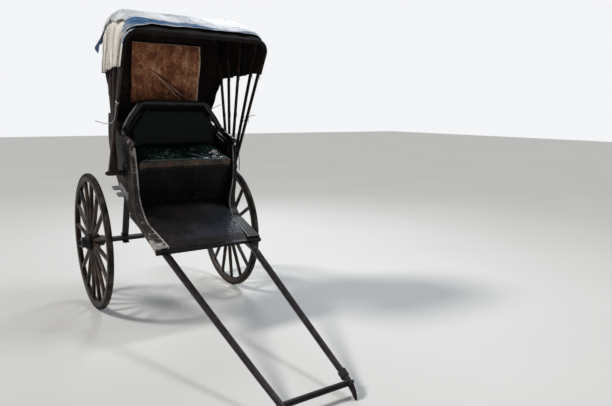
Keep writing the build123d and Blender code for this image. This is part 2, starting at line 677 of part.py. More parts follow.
# Hood pivots
pin_end = BOW_INNER + BOW_PITCH * len(BOWS)
pivot = rod(BOSS_R, PANEL_IN, BOW_INNER - 0.5, *PIVOT)
pivot += rod(BOSS_R + 12, PANEL_IN, PANEL_OUT + (PIVOT[1] - SILL_BOTTOM) * FLARE_T + 12, *PIVOT)
pivot += rod(PIVOT_R, PANEL_IN, pin_end + 1, *PIVOT)
pivot += rod(PIVOT_HEAD_R, pin_end, pin_end + PIVOT_HEAD_T, *PIVOT)
pivot -= flare(block(-HIGH, HIGH, -HIGH, PANEL_OUT, -HIGH, HIGH))
both(pivot, "hood_pivot")


# Bows and hood cloth
def bow_plane(angle):
    """Plane through the pivot line: x across, y away from the pivots."""
    a = radians(angle)
    return Plane(origin=(PIVOT[0], 0, PIVOT[1]), x_dir=(0, 1, 0), z_dir=(sin(a), 0, -cos(a)))


def u_face(plane, half, top, corner, foot, leg, crown):
    """A U-shaped face: outer half width, outer height, corner radius, height of its feet."""
    def p(x, y):
        return plane.from_local_coords((x, y, 0))

    ro = corner
    ri = corner - max(leg, crown)
    k = 0.7071067811865476
    inner = half - leg
    roof = top - crown
    edges = [
        Line(p(-half, foot), p(-half, top - ro)),
        ThreePointArc(p(-half, top - ro), p(-half + ro * (1 - k), top - ro * (1 - k)), p(-half + ro, top)),
        Line(p(-half + ro, top), p(half - ro, top)),
        ThreePointArc(p(half - ro, top), p(half - ro * (1 - k), top - ro * (1 - k)), p(half, top - ro)),
        Line(p(half, top - ro), p(half, foot)),
        Line(p(half, foot), p(inner, foot)),
        Line(p(inner, foot), p(inner, roof - ri)),
        ThreePointArc(p(inner, roof - ri), p(inner - ri * (1 - k), roof - ri * (1 - k)), p(inner - ri, roof)),
        Line(p(inner - ri, roof), p(-inner + ri, roof)),
        ThreePointArc(p(-inner + ri, roof), p(-inner + ri * (1 - k), roof - ri * (1 - k)), p(-inner, roof - ri)),
        Line(p(-inner, roof - ri), p(-inner, foot)),
        Line(p(-inner, foot), p(-half, foot)),
    ]
    return Face(Wire(edges))


def outer_edges(body, plane, half, top):
    """The long edges round the outside of a lath."""
    found = []
    for edge in body.edges():
        p = plane.to_local_coords(edge.position_at(0.5))
        if abs(abs(p.Z) - LATH_W / 2) > 0.01 or p.Y < 1:
            continue
        x = abs(p.X)
        centre = half - BOW_CORNER
        rise = top - BOW_CORNER
        if x > centre and p.Y > rise:
            outside = abs(hypot(x - centre, p.Y - rise) - BOW_CORNER) < 0.1
        else:
            outside = abs(x - half) < 0.1 or abs(p.Y - top) < 0.1
        if outside:
            found.append(edge)
    return found


def bow(index):
    """One bent lath with an eye at each foot."""
    angle, height = BOWS[index]
    plane = bow_plane(angle)
    outer = BOW_INNER + index * BOW_PITCH + LATH_T
    face = u_face(plane, outer, height, BOW_CORNER, 0.0, LATH_T, LATH_TOP_T)
    body = extrude(face, amount=LATH_W / 2, both=True)
    body = chamfer(outer_edges(body, plane, outer, height), LATH_BEVEL)
    for y0 in (outer - LATH_T, -outer):
        body += rod(EYE_R, y0, y0 + LATH_T, *PIVOT)
    for y0 in (outer - LATH_T, -outer):
        body -= rod(PIVOT_R + PIVOT_CLEAR, y0 - 1, y0 + LATH_T + 1, *PIVOT)
    return body


def cloth_face(index, shift):
    """Section of the hood cloth over a bow, in a plane turned a little to one side of it."""
    angle, height = BOWS[index]
    plane = bow_plane(angle + shift)
    out = CLOTH_GAP + CLOTH_T
    half = BOW_INNER + index * BOW_PITCH + LATH_T + out
    foot = (SKIRT_W[index] - PIVOT[1]) / sin(radians(angle))
    return u_face(plane, half, height + out, BOW_CORNER + out, foot, CLOTH_T, CLOTH_T)


for i in range(len(BOWS)):
    save(bow(i), f"bow_{i + 1}")
for i in range(len(BOWS) - 1):
    sheet = loft([cloth_face(i, -CLOTH_SPLIT), cloth_face(i + 1, CLOTH_SPLIT)], ruled=True)
    save(sheet, f"hood_cloth_{i + 1}")

# Front edge of the hood, folded down over the front bow
last = len(BOWS) - 1
angle, height = BOWS[last]
out = CLOTH_GAP + CLOTH_T
half = BOW_INNER + last * BOW_PITCH + LATH_T + out
foot = (SKIRT_W[last] - PIVOT[1]) / sin(radians(angle))
ahead = bow_plane(angle)
front_gap = LATH_W / 2 + SOFT_GAP


def moved(plane, distance):
    return Plane(origin=plane.origin + plane.z_dir * distance, x_dir=plane.x_dir, z_dir=plane.z_dir)


lip = extrude(
    u_face(moved(ahead, SOFT_GAP), half, height + out, BOW_CORNER + out, foot, CLOTH_T, CLOTH_T),
    amount=front_gap + CLOTH_T - SOFT_GAP, dir=ahead.z_dir,
)
fall = extrude(
    u_face(moved(ahead, front_gap), half, height + out, BOW_CORNER + out, foot, BAND_SIDE, BAND_H),
    amount=CLOTH_T, dir=ahead.z_dir,
)
save(lip + fall, "hood_front_band")

# Rear curtain from the rear bow down to the stern
curtain_plane = Plane(
    origin=(STERN + BOARD_T / 2 + CLOTH_T / 2, 0, TUB_TOP + SOFT_GAP), x_dir=(0, 1, 0), z_dir=(0, 0, 1)
)
low_face = u_face(
    curtain_plane, CURTAIN_SIDE + CLOTH_T, CLOTH_T, CURTAIN_CORNER, -CURTAIN_WRAP, CLOTH_T, CLOTH_T
)
angle, height = BOWS[0]
behind = bow_plane(angle)
half = BOW_INNER + LATH_T + out
foot = (SKIRT_W[0] - PIVOT[1]) / sin(radians(angle))
rear_face = u_face(moved(behind, -front_gap), half, height + out, BOW_CORNER + out, foot, CLOTH_T, CLOTH_T)
turnover = extrude(rear_face, amount=front_gap - SOFT_GAP, dir=behind.z_dir)
curtain = loft([rear_face, low_face], ruled=True) + turnover
save(curtain, "rear_curtain")

# Loose tie cord
normal = Vector(0, cos(radians(FLARE)), -sin(radians(FLARE)))
along_rail = (CORD_TOP[1] - SILL_BOTTOM + (RAIL_OUT - PANEL_IN) * sin(radians(FLARE))) / cos(radians(FLARE))
cord_y = PANEL_IN + (RAIL_OUT - PANEL_IN) * cos(radians(FLARE)) + along_rail * sin(radians(FLARE))
top = park(Vertex(CORD_TOP[0], cord_y, CORD_TOP[1])).center()
first = normal.rotate(Axis.Y, TILT)
route = [Vector(top.X, top.Y, top.Z), Vector(top.X, top.Y, top.Z) + first * CORD_OUT]
for run in CORD_RUNS:
    route.append(route[-1] + Vector(*run))
radii = []
for before, here, after in zip(route, route[1:], route[2:]):
    run_in = here - before
    run_out = after - here
    turn = radians(run_in.get_angle(run_out))
    radii.append(CORD_BEND * min(run_in.length, run_out.length) / tan(turn / 2))
cord_path = FilletPolyline(*route, radius=radii)
cord = sweep(Plane(origin=route[0], z_dir=first) * Circle(CORD_R), path=cord_path)
cord.label = "tie_cord"
export_step(cord, "parts/tie_cord.step")
section_length = pi * CORD_R ** 2 * cord_path.length
print("tilt", round(TILT, 3), "cord length", round(cord_path.length, 1))
print("cord radii", [round(r, 1) for r in radii], "volume / section x length", round(cord.volume / section_length, 3))
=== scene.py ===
import json
from math import atan2, cos, hypot, pi, radians, sin

import bpy
import bmesh
from mathutils import Matrix, Vector, noise


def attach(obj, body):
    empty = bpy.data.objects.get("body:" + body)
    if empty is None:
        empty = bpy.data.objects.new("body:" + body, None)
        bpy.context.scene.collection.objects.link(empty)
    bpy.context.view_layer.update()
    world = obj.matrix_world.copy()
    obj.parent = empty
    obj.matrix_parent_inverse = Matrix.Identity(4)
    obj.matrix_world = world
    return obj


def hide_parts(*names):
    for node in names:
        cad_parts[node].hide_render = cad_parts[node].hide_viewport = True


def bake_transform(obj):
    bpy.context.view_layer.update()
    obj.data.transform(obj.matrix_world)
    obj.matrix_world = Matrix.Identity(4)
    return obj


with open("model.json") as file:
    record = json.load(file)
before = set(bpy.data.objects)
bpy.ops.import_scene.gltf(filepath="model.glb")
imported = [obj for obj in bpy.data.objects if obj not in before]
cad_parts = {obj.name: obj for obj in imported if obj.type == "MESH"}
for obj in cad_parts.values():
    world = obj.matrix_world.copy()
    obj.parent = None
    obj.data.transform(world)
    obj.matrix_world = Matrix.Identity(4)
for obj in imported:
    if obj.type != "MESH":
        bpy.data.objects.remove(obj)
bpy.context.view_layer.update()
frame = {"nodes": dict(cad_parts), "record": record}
nodes = frame["nodes"]
slot_of = {row["node"]: row["material_slot"] for row in frame["record"]["subparts"]}

# The level travelling frame: X forward from the axle, Z up. The parked vehicle leans nose down.
WHEEL_R = 0.510
TILT = radians(17.792)
MIDDLE = 0.828956
LEVEL = Matrix.Translation((-MIDDLE, 0, WHEEL_R)) @ Matrix.Rotation(TILT, 4, "Y")
LEVEL_BACK = LEVEL.inverted()
SIDES = (("left", 1), ("right", -1))

# The cushion as its solid stands, and the seam below its top
CUSHION_REAR, CUSHION_FRONT, CUSHION_HALF, CUSHION_LOW = 0.0015, 0.3035, 0.3572, 0.6906
SIDE_FLARE = 0.035
SEAM_Z = 0.7425

# Camera at the photograph's view, its lens from a focal length and a width in pixels
CAMERA_AT = Vector((4.192 - MIDDLE, -1.520, 1.479))
YAW, PITCH, ROLL = radians(145.395), radians(-9.41), radians(0.568)
FOCAL, PHOTO_WIDE, SENSOR = 548.9, 612.0, 36.0


def stand(name, data):
    """Put a mesh, curve, lamp or camera into the scene."""
    made = bpy.data.objects.new(name, data)
    bpy.context.scene.collection.objects.link(made)
    return made


def make_camera():
    ahead = Vector((cos(YAW) * cos(PITCH), sin(YAW) * cos(PITCH), sin(PITCH)))
    flat = ahead.cross(Vector((0, 0, 1))).normalized()
    top = flat.cross(ahead)
    right = cos(ROLL) * flat + sin(ROLL) * top
    up = cos(ROLL) * top - sin(ROLL) * flat
    lens = bpy.data.cameras.new("camera")
    lens.sensor_width = SENSOR
    lens.lens = FOCAL * SENSOR / PHOTO_WIDE
    camera = stand("camera", lens)
    camera.matrix_world = Matrix.Translation(CAMERA_AT) @ Matrix((right, up, -ahead)).transposed().to_4x4()
    bpy.context.scene.camera = camera


make_camera()


# Materials: sums on sockets, and one method that makes every node
class Value:
    """The result of a node, which can be added, multiplied and so on."""

    def __init__(self, finish, socket):
        self.finish = finish
        self.socket = socket

    def math(self, operation, a, b=None, clamp=False):
        sockets = {0: a} if b is None else {0: a, 1: b}
        return self.finish.node("Math", {"operation": operation, "use_clamp": clamp}, sockets)

    def __add__(self, other):
        return self.math("ADD", self, other)

    def __sub__(self, other):
        return self.math("SUBTRACT", self, other)

    def __rsub__(self, other):
        return self.math("SUBTRACT", other, self)

    def __mul__(self, other):
        return self.math("MULTIPLY", self, other)

    def __pow__(self, other):
        return self.math("POWER", self, other)

    def clamp(self):
        return self.math("ADD", self, 0.0, clamp=True)

    def above(self, low, high):
        """0 below low, 1 above high and smooth between them; high below low turns it round."""
        start, end = (0.0, 1.0) if low < high else (1.0, 0.0)
        sockets = {0: self, 1: min(low, high), 2: max(low, high), 3: start, 4: end}
        return self.finish.node("MapRange", {"interpolation_type": "SMOOTHSTEP"}, sockets)

    def near(self, middle, far, close):
        """1 within close of a middle value, 0 farther off than far."""
        return self.math("ABSOLUTE", self - middle).above(far, close)


finishes = {}


class Finish:
    """A material under construction."""

    NAMES = {"rough": "Roughness", "metal": "Metallic", "normal": "Normal", "shine": "Specular IOR Level"}

    def __init__(self, name):
        self.material = finishes[name] = bpy.data.materials.new(name)
        self.material.use_nodes = True
        self.tree = self.material.node_tree
        self.tree.nodes.clear()
        self.coat = self.tree.nodes.new("ShaderNodeBsdfPrincipled")
        end = self.tree.nodes.new("ShaderNodeOutputMaterial")
        self.tree.links.new(self.coat.outputs[0], end.inputs[0])

    def node(self, kind, settings=None, sockets=None, out=0):
        made = self.tree.nodes.new("ShaderNode" + kind)
        for key, value in (settings or {}).items():
            setattr(made, key, value)
        for key, value in (sockets or {}).items():
            self.put(made.inputs[key], value)
        return Value(self, made.outputs[out])

    def put(self, socket, value):
        if isinstance(value, Value):
            self.tree.links.new(value.socket, socket)
        elif socket.type == "RGBA":
            socket.default_value = (*value, 1.0)
        else:
            socket.default_value = value

    def place(self, turn=(0, 0, 0), shift=(0, 0, 0), size=(1, 1, 1)):
        """Object coordinates, moved, turned and stretched."""
        point = self.node("TexCoord", out="Object")
        point = self.node("VectorMath", {"operation": "ADD"}, {0: point, 1: shift})
        return self.node("Mapping", {}, {0: point, 2: turn, 3: size})

    def body(self, size=(1, 1, 1), turn=(0, -TILT, 0)):
        """Coordinates of the level frame."""
        return self.place(turn, (MIDDLE, 0, -WHEEL_R), size)

    def noise(self, at, scale, detail, rough, warp=0.0):
        sockets = {"Vector": at, "Scale": scale, "Detail": detail, "Roughness": rough, "Distortion": warp}
        return self.node("TexNoise", {}, sockets)

    def cells(self, at, scale, feature="F1"):
        return self.node("TexVoronoi", {"feature": feature}, {"Vector": at, "Scale": scale})

    def ramp(self, value, *stops):
        """A colour that runs through the stops, each a place and a shade."""
        made = self.node("ValToRGB", {}, {0: value})
        elements = made.socket.node.color_ramp.elements
        while len(elements) < len(stops):
            elements.new(1.0)
        for element, (place, shade) in zip(elements, stops):
            element.position = place
            element.color = (*shade, 1.0)
        return made

    def mix(self, a, b, share):
        return self.node("Mix", {"data_type": "RGBA"}, {0: share, 6: a, 7: b}, 2)

    def over(self, shade, share):
        """Lay a shade over the colour so far."""
        self.colour = self.mix(self.colour, shade, share)

    def parts(self, at):
        """The three numbers of a vector."""
        outs = self.node("SeparateXYZ", {}, {0: at}).socket.node.outputs
        return [Value(self, out) for out in outs]

    def weft(self):
        """The three numbers that a cloth keeps at each of its corners."""
        return self.parts(self.node("Attribute", {"attribute_name": "weft"}, out="Vector"))

    def join(self, x, y, z):
        return self.node("CombineXYZ", {}, {0: x, 1: y, 2: z})

    def edges(self, radius):
        """1 on sharp edges, 0 on flats."""
        soft = self.node("Bevel", {"samples": 4}, {0: radius})
        flat = self.node("NewGeometry", out="Normal")
        return self.node("VectorMath", {"operation": "DOT_PRODUCT"}, {0: soft, 1: flat}, 1).above(0.995, 0.90)

    def bump(self, height, strength, distance, soft=0.0):
        sockets = {"Height": height, "Strength": strength, "Distance": distance}
        if soft:
            sockets["Normal"] = self.node("Bevel", {"samples": 4}, {0: soft})
        return self.node("Bump", {}, sockets)

    def done(self, **sockets):
        """Join the colour and what else was made to the shader."""
        self.put(self.coat.inputs["Base Color"], self.colour)
        for key, value in sockets.items():
            self.put(self.coat.inputs[self.NAMES[key]], value)


def grain_along(*size):
    """Body coordinates, squeezed along the grain."""
    return lambda f: f.body(size)


along_body, up_body, across_body = grain_along(1.2, 9.0, 9.0), grain_along(9.0, 9.0, 1.2), grain_along(9.0, 1.0, 9.0)


def wheel_parts(f):
    """Turn round the axle, reach from it, and the place across the wheel."""
    x, y, z = f.parts(f.body(turn=(0, 0, 0)))
    return f.node("Math", {"operation": "ARCTAN2"}, {0: z, 1: x}), (x * x + z * z) ** 0.5, y


def round_wheel(f):
    """Grain round the rim."""
    turn, reach, y = wheel_parts(f)
    return f.join(turn * 0.55, reach * 9.0, y * 9.0)


def out_wheel(f):
    """Grain out along the spokes."""
    turn, reach, y = wheel_parts(f)
    return f.join(reach * 1.3, turn * 3.2, y * 9.0)


def wood_grain(f, at):
    """Long grain and its fibres."""
    where = at(f)
    return f.noise(where, 6.0, 7.0, 0.62, 0.4), f.noise(where, 34.0, 4.0, 0.6)


def wood(name, dark, light, at, edge=None, dusty=0.15, rough=0.46, shine=0.13):
    """Old painted wood: long grain, blotches, rubbed edges and dust."""
    f = Finish(name)
    grain, fibre = wood_grain(f, at)
    blotch = f.noise(f.place(), 5.5, 5.0, 0.6)
    fine = f.noise(f.place(), 38.0, 6.0, 0.7)
    f.colour = f.mix(dark, light, (grain * 0.65 + fibre * 0.45 + blotch * 0.7 - 0.5).above(0.28, 0.60))
    dirt = (blotch * 0.6 + fine * 0.6).above(0.64, 0.90) * dusty
    f.over((0.12, 0.098, 0.085), dirt)
    if edge:
        f.over(edge, f.edges(0.0045) * (fine + grain).above(0.86, 1.15) * 0.75)
    cracks = fibre.above(0.38, 0.28)
    f.over([0.3 * c for c in dark], cracks * 0.55)
    f.done(rough=(dirt * 0.8 + fibre * 0.3 + (rough - 0.15)).clamp(), shine=shine,
           normal=f.bump(grain * 0.5 + fibre * 0.6 - cracks * 0.5, 0.45, 0.0012, 0.0015))


def peeling(name, dark, light, pale, high, shown, nose):
    """Weathered brown-grey wood, its whitish paint in flakes, more of them near the rail's nose."""
    f = Finish(name)
    grain, fibre = wood_grain(f, up_body)
    blotch = f.noise(f.place(), 9.0, 6.0, 0.68)
    fine = f.noise(f.place(), 55.0, 6.0, 0.7)
    f.colour = f.mix(dark, light, (grain * 0.6 + fibre * 0.5 + blotch * 0.4 - 0.35).above(0.26, 0.56))
    near_nose = f.parts(f.body())[0].above(0.62, 0.74) * nose
    flake = (blotch * 0.7 + fine * 0.35 + grain * 0.25 + near_nose).above(high + 0.10, high + 0.16)
    f.over(pale, flake * shown)
    f.over((0.30, 0.26, 0.23), f.edges(0.004) * fine.above(0.40, 0.58) * 0.6)
    f.over([0.3 * c for c in dark], fibre.above(0.38, 0.28) * 0.6)
    f.done(rough=(fibre * 0.3 + 0.55).clamp(), shine=0.4,
           normal=f.bump(grain * 0.5 + fibre * 0.6 + flake * 0.5, 0.5, 0.0012, 0.0012))


def iron(name, dark, rust, share, metal, bright):
    """Iron with rust in patches and rubbed edges."""
    f = Finish(name)
    at = f.place()
    big = f.noise(at, 11.0, 6.0, 0.65)
    small = f.noise(at, 90.0, 5.0, 0.7)
    red = (big * 0.6 + small * 0.5).above(0.55, 0.74) * share
    f.colour = f.mix(f.mix(dark, rust, red), bright, f.edges(0.003) * small.above(0.40, 0.64) * 0.5)
    f.done(metal=(metal - red * metal).clamp(), rough=(red * 0.4 + big * 0.35 + 0.25).clamp(),
           normal=f.bump(small * 0.7 + big, 0.35, 0.0012, 0.0012))


def tyre_rubber():
    """Worn rubber: road dust on the tread, darker sides, fine cracks."""
    f = Finish("tyre_rubber")
    at = f.place()
    turn, reach, y = wheel_parts(f)
    big = f.noise(at, 7.0, 5.0, 0.6)
    fine = f.noise(at, 70.0, 6.0, 0.7)
    crack = f.cells(f.join(turn * 28.0, reach * 60.0, y * 60.0), 1.0, "DISTANCE_TO_EDGE")
    line = crack.above(0.05, 0.01) * fine.above(0.45, 0.6)
    tread = (reach + fine * 0.006).above(0.5035, 0.5095)
    f.colour = f.ramp(big * 0.5 + fine * 0.5, (0.38, (0.004, 0.003, 0.003)), (0.50, (0.010, 0.008, 0.007)),
                      (0.66, (0.036, 0.027, 0.021)))
    f.over((0.105, 0.088, 0.072), tread * big.above(0.40, 0.62) * (fine * 0.6 + 0.3))
    f.over((0.010, 0.008, 0.008), line * 0.6)
    f.done(rough=0.78, normal=f.bump(fine + big * 0.5 - line * 0.6, 0.5, 0.001, 0.002), shine=0.12)


def footboard_sheet():
    """Black painted sheet, scuffed where feet go and given a painted bluish sheen there, dark along its edges."""
    f = Finish("footboard_sheet")
    at = f.body()
    big = f.noise(at, 5.0, 6.0, 0.6)
    fine = f.noise(at, 60.0, 6.0, 0.7)
    x, y, z = f.parts(at)
    wander = big * 0.10 - 0.05
    inner = (x + wander).above(0.735, 0.690) * (y + wander).above(0.325, 0.275)
    worn = (x * 1.3 + y * 1.1 + big * 0.5).above(0.86, 1.18) * inner
    scratch = f.noise(f.body((60.0, 2.5, 4.0), (0.2, -TILT, 0.5)), 4.0, 5.0, 0.7)
    marks = scratch.above(0.62, 0.72) * fine.above(0.42, 0.6)
    pits = f.cells(at, 115.0)
    bare = worn * (fine.above(0.42, 0.66) * 0.4 + 0.35 + pits.above(0.30, 0.12) * 0.4) + marks * 0.25
    bare = bare.clamp()
    f.colour = f.ramp(big * 0.6 + fine * 0.4, (0.3, (0.003, 0.0025, 0.003)), (0.55, (0.006, 0.005, 0.0055)),
                      (0.8, (0.022, 0.016, 0.014)))
    f.over((0.022, 0.013, 0.010), (big * 0.7 + fine * 0.5).above(0.56, 0.70) * 0.7)
    # Painted sheen: the bluish colour on the scuffed area stands in for a reflection of the sky, laid over bare
    # metal.
    f.over((0.060, 0.072, 0.098), bare * 0.7)
    f.done(metal=bare * 0.15, shine=0.20,
           rough=(worn * -0.36 + big * 0.10 + fine * 0.10 + 0.46).clamp(),
           normal=f.bump(big * 0.8 + fine * 0.9 + pits * 0.9 + scratch * 0.2, 0.55, 0.0022, 0.001))


def rexine(name, tint, rub_colour, rubbed, gloss, shine, left_only=False, painted_glints=False):
    """Coated cloth, pebbled, creased and rubbed pale on its creases, with bluish-white streaks on the seat as painted
    glints.
    """
    f = Finish(name)
    at = f.place()
    x, y, z = f.parts(f.body())
    big = f.noise(at, 4.5, 4.0, 0.6)
    fine = f.noise(at, 46.0, 5.0, 0.65)
    pebble = f.cells(at, 420.0)
    crease = f.noise(at, 9.0, 3.0, 0.5, 1.2)
    lines = crease.near(0.5, 0.016, 0.003)
    hair = f.noise(at, 21.0, 3.0, 0.5, 0.8).near(0.5, 0.012, 0.002)
    rub = (lines * big.above(0.44, 0.62) + hair * fine.above(0.5, 0.66) * 0.6).clamp()
    shades = [0.5 * c for c in tint], tint, [1.7 * c + 0.003 for c in tint]
    f.colour = f.ramp(big * 0.7 + fine * 0.3, *zip((0.3, 0.55, 0.8), shades))
    rough = big * 0.13 + fine * 0.07 + gloss
    if left_only:
        # Painted shade: away from the left arm the pale rubbing fades, darkening the side that the light misses; the
        # coat there is duller as well.
        side = y.above(0.28, 0.18)
        rub = rub * (1 - side * 0.7)
        rough = rough + side * 0.30
    f.over(rub_colour, rub * rubbed)
    if left_only:
        # The right arm's front end: pale where its backing shows through a tear, and partly a painted highlight.
        torn_end_and_highlight = y.above(-0.33, -0.37) * x.above(0.14, 0.22) * (fine * 0.6 + crease * 0.5).above(0.54, 0.62)
        f.over((0.40, 0.29, 0.27), torn_end_and_highlight * 0.85)
    if painted_glints:
        # Painted glints: bluish-white streaks over the left half of the seat stand in for reflections of the sky.
        run = f.join(x * 1.5 + y * 2.0, y * 19.0 - x * 26.0, 0.0)
        painted_glint = f.noise(run, 1.0, 3.0, 0.5, 0.3).above(0.555, 0.60) * f.noise(at, 16.0, 3.0, 0.6).above(0.42, 0.52)
        glint_area = y.above(0.015, 0.075) * y.above(0.325, 0.28) * x.above(0.07, 0.13) * z.above(0.742, 0.748)
        f.over((0.34, 0.43, 0.50), painted_glint * glint_area * 0.75)
    f.done(rough=(rough + rub * 0.2).clamp(), shine=shine,
           normal=f.bump(pebble * -0.12 + lines * -0.5 + fine * 0.4 + big * 0.8, 0.32, 0.0016))


def cushion_band():
    """Front band of the cushion: olive and brown with dull red patches, and a dark seam."""
    f = Finish("cushion_band")
    at = f.body()
    big = f.noise(at, 7.0, 5.0, 0.6)
    fine = f.noise(at, 55.0, 6.0, 0.7)
    streak = f.noise(f.body((3, 3, 30)), 6.0, 5.0, 0.65)
    f.colour = f.ramp(big * 0.55 + fine * 0.45, (0.40, (0.008, 0.006, 0.005)), (0.50, (0.042, 0.029, 0.018)),
                      (0.62, (0.125, 0.086, 0.054)))
    red = (f.noise(at, 11.0, 4.0, 0.6) + streak * 0.4).above(0.72, 0.86)
    f.over((0.110, 0.030, 0.022), red * 0.7)
    f.over((0.17, 0.15, 0.12), (fine * 0.6 + streak * 0.5).above(0.66, 0.78) * 0.45)
    f.over((0.006, 0.006, 0.005), f.parts(at)[2].near(SEAM_Z, 0.0035, 0.001) * 0.8)
    f.done(rough=(fine * 0.35 + 0.45).clamp(), shine=0.4,
           normal=f.bump(fine + streak * 0.6, 0.4, 0.0016))


def weave(f, at):
    """Fine threads."""
    x, y, z = [(part * 700.0).math("SINE", part * 700.0) for part in f.parts(at)]
    return x * 0.34 + y * 0.33 + z * 0.33


def side_cloth():
    """Cream cotton, sun-faded, stained in long streaks down the folds, with painted shade in the valleys of its
    hanging pleats.
    """
    f = Finish("side_cloth")
    at = f.place()
    big = f.noise(at, 3.4, 6.0, 0.62)
    fine = f.noise(at, 26.0, 6.0, 0.65)
    streak = f.noise(f.body((9, 9, 1.3)), 3.2, 5.0, 0.62)
    line = f.noise(f.body((26, 26, 1.0)), 1.9, 3.0, 0.5)
    f.colour = f.mix((0.80, 0.77, 0.70), (0.56, 0.50, 0.42), (streak * 0.8 + fine * 0.3).above(0.50, 0.70))
    f.over((0.20, 0.165, 0.135), line.above(0.60, 0.70) * 0.75)
    f.over((0.17, 0.145, 0.115), (big * 0.7 + fine * 0.45).above(0.64, 0.80) * 0.75)
    # Painted shade in the valleys of the cover's hanging pleats, read from the third weft.
    f.over((0.16, 0.125, 0.095), (f.weft()[2] * (fine + 0.4)).clamp() * 0.85)
    f.done(rough=0.88, normal=f.bump(weave(f, at) * 0.10 + fine * 0.5 + streak * 0.7, 0.35, 0.0016))


def lining(name, low, high):
    """Black-brown inner cloth, dull, with faint brown patches."""
    f = Finish(name)
    at = f.place()
    big = f.noise(at, 4.0, 6.0, 0.62)
    fine = f.noise(at, 34.0, 6.0, 0.65)
    f.colour = f.ramp(big * 0.6 + fine * 0.4, (0.30, (0.004, 0.0036, 0.004)), (0.55, low), (0.74, high))
    f.done(rough=0.78, shine=0.12, normal=f.bump(weave(f, at) * 0.10 + fine * 0.7 + big, 0.4, 0.0018))


def pale_sheet(name, bordered):
    """White plastic-coated sheet: creases with painted shade along their fold lines, grime in patches; its blue
    border follows the weft.
    """
    f = Finish(name)
    at = f.place()
    big = f.noise(at, 3.6, 6.0, 0.6)
    fine = f.noise(at, 30.0, 6.0, 0.66)
    fold = f.noise(f.body((7.0, 2.2, 7.0)), 1.3, 4.0, 0.55, 0.9)
    line = fold.near(0.5, 0.030, 0.002)
    wrinkle = f.noise(f.body((16.0, 7.0, 16.0)), 1.2, 3.0, 0.5, 0.7)
    thin = wrinkle.near(0.5, 0.028, 0.002) * big.above(0.44, 0.58)
    f.colour = f.mix((0.72, 0.725, 0.73), (0.44, 0.46, 0.49), (big * 0.7 + fine * 0.4).above(0.46, 0.70))
    f.over((0.22, 0.21, 0.20), (big * 0.6 + fine * 0.55).above(0.64, 0.78) * 0.65)
    # Painted shade: darker bluish lines along the folds and wrinkles.
    f.over((0.26, 0.29, 0.34), line * 0.5)
    f.over((0.20, 0.23, 0.29), thin * 0.4)
    if bordered:
        bay, across, wide = f.weft()
        long_streak = f.noise(f.join(bay * 9.0, across * 2.6, 0.0), 2.4, 5.0, 0.6)
        reach = bay + (long_streak - 0.5) * 0.55
        border = (reach - (4.0 - wide)).above(-0.05, 0.03) * (bay + fine * 0.10).above(4.00, 3.97)
        streaks = f.noise(f.join(bay * 11.0, across * 2.2, 0.0), 1.0, 4.0, 0.55).above(0.40, 0.47)
        blue = f.mix((0.006, 0.050, 0.130), (0.030, 0.140, 0.320), (fine * 0.7 + big * 0.4).above(0.42, 0.72))
        f.over(blue, (border * streaks * 1.25).clamp())
    f.done(rough=(fine * 0.25 + 0.5).clamp(), shine=0.4,
           normal=f.bump(line * -0.8 + fold * 1.6 + thin * -0.6 + fine * 0.35, 0.6, 0.005))


def blue_edge():
    """The sheet's blue border, faded and scuffed."""
    f = Finish("blue_edge")
    at = f.place()
    big = f.noise(at, 6.0, 5.0, 0.6)
    fine = f.noise(at, 48.0, 6.0, 0.7)
    f.colour = f.mix((0.030, 0.095, 0.190), (0.110, 0.210, 0.340), (big * 0.6 + fine * 0.5).above(0.45, 0.75))
    f.over((0.42, 0.45, 0.48), (fine * 0.7 + big * 0.4).above(0.66, 0.80) * 0.6)
    f.done(rough=(fine * 0.25 + 0.5).clamp(), shine=0.4, normal=f.bump(fine + big, 0.35, 0.0015))


def rust_sheet():
    """Rust-brown cloth of the rear panel: mottled, with dark stains, its creases paler on the ridges as rubbing and
    as painted highlight, and dark in the valleys as painted shade.
    """
    f = Finish("rust_sheet")
    at = f.body()
    big = f.noise(at, 5.0, 6.0, 0.64)
    fine = f.noise(at, 42.0, 6.0, 0.68)
    streak = f.noise(f.body((4, 14, 3), (0.7, -TILT, 0)), 3.0, 5.0, 0.62)
    f.colour = f.ramp(big * 0.45 + streak * 0.2 + fine * 0.35, (0.41, (0.055, 0.015, 0.008)),
                      (0.47, (0.230, 0.066, 0.026)), (0.53, (0.440, 0.160, 0.068)), (0.62, (0.760, 0.430, 0.245)))
    dark = (fine * 0.5 + f.noise(at, 17.0, 4.0, 0.6, 0.8) * 0.6).above(0.58, 0.68)
    f.over((0.040, 0.014, 0.010), dark * 0.7)
    # The creases from the wefts: ridges paler, partly rubbing and partly a painted highlight; valleys dark, a painted
    # shade.
    weft = f.weft()
    f.over((0.95, 0.62, 0.40), (weft[0].above(0.35, 0.90) * (fine + 0.2)).clamp() * 0.75)
    f.over((0.050, 0.016, 0.010), weft[1].above(0.25, 0.85) * 0.85)
    f.done(rough=(fine * 0.3 + 0.55).clamp(), shine=0.35,
           normal=f.bump(streak * 1.1 + fine * 0.45 + weave(f, at) * 0.06, 0.45, 0.002))


def faded(name, pale, stain_and_fold_shade):
    """Faded cloth, stained in patches."""
    f = Finish(name)
    at = f.place()
    big = f.noise(at, 8.0, 6.0, 0.62)
    fine = f.noise(at, 40.0, 6.0, 0.66)
    f.colour = f.mix(pale, stain_and_fold_shade, (big * 0.6 + fine * 0.5).above(0.46, 0.74))
    f.done(rough=0.8, shine=0.3, normal=f.bump(fine + big + weave(f, at) * 0.08, 0.35, 0.0014))


def black_cord():
    """Tarred twisted cord."""
    f = Finish("black_cord")
    at = f.place()
    fine = f.noise(at, 160.0, 4.0, 0.7)
    f.colour = f.ramp(fine, (0.3, (0.007, 0.006, 0.006)), (0.6, (0.020, 0.017, 0.015)), (0.85, (0.055, 0.046, 0.038)))
    f.done(rough=0.82, normal=f.bump(f.noise(at, 520.0, 2.0, 0.5) + fine * 0.6, 0.6, 0.0008))


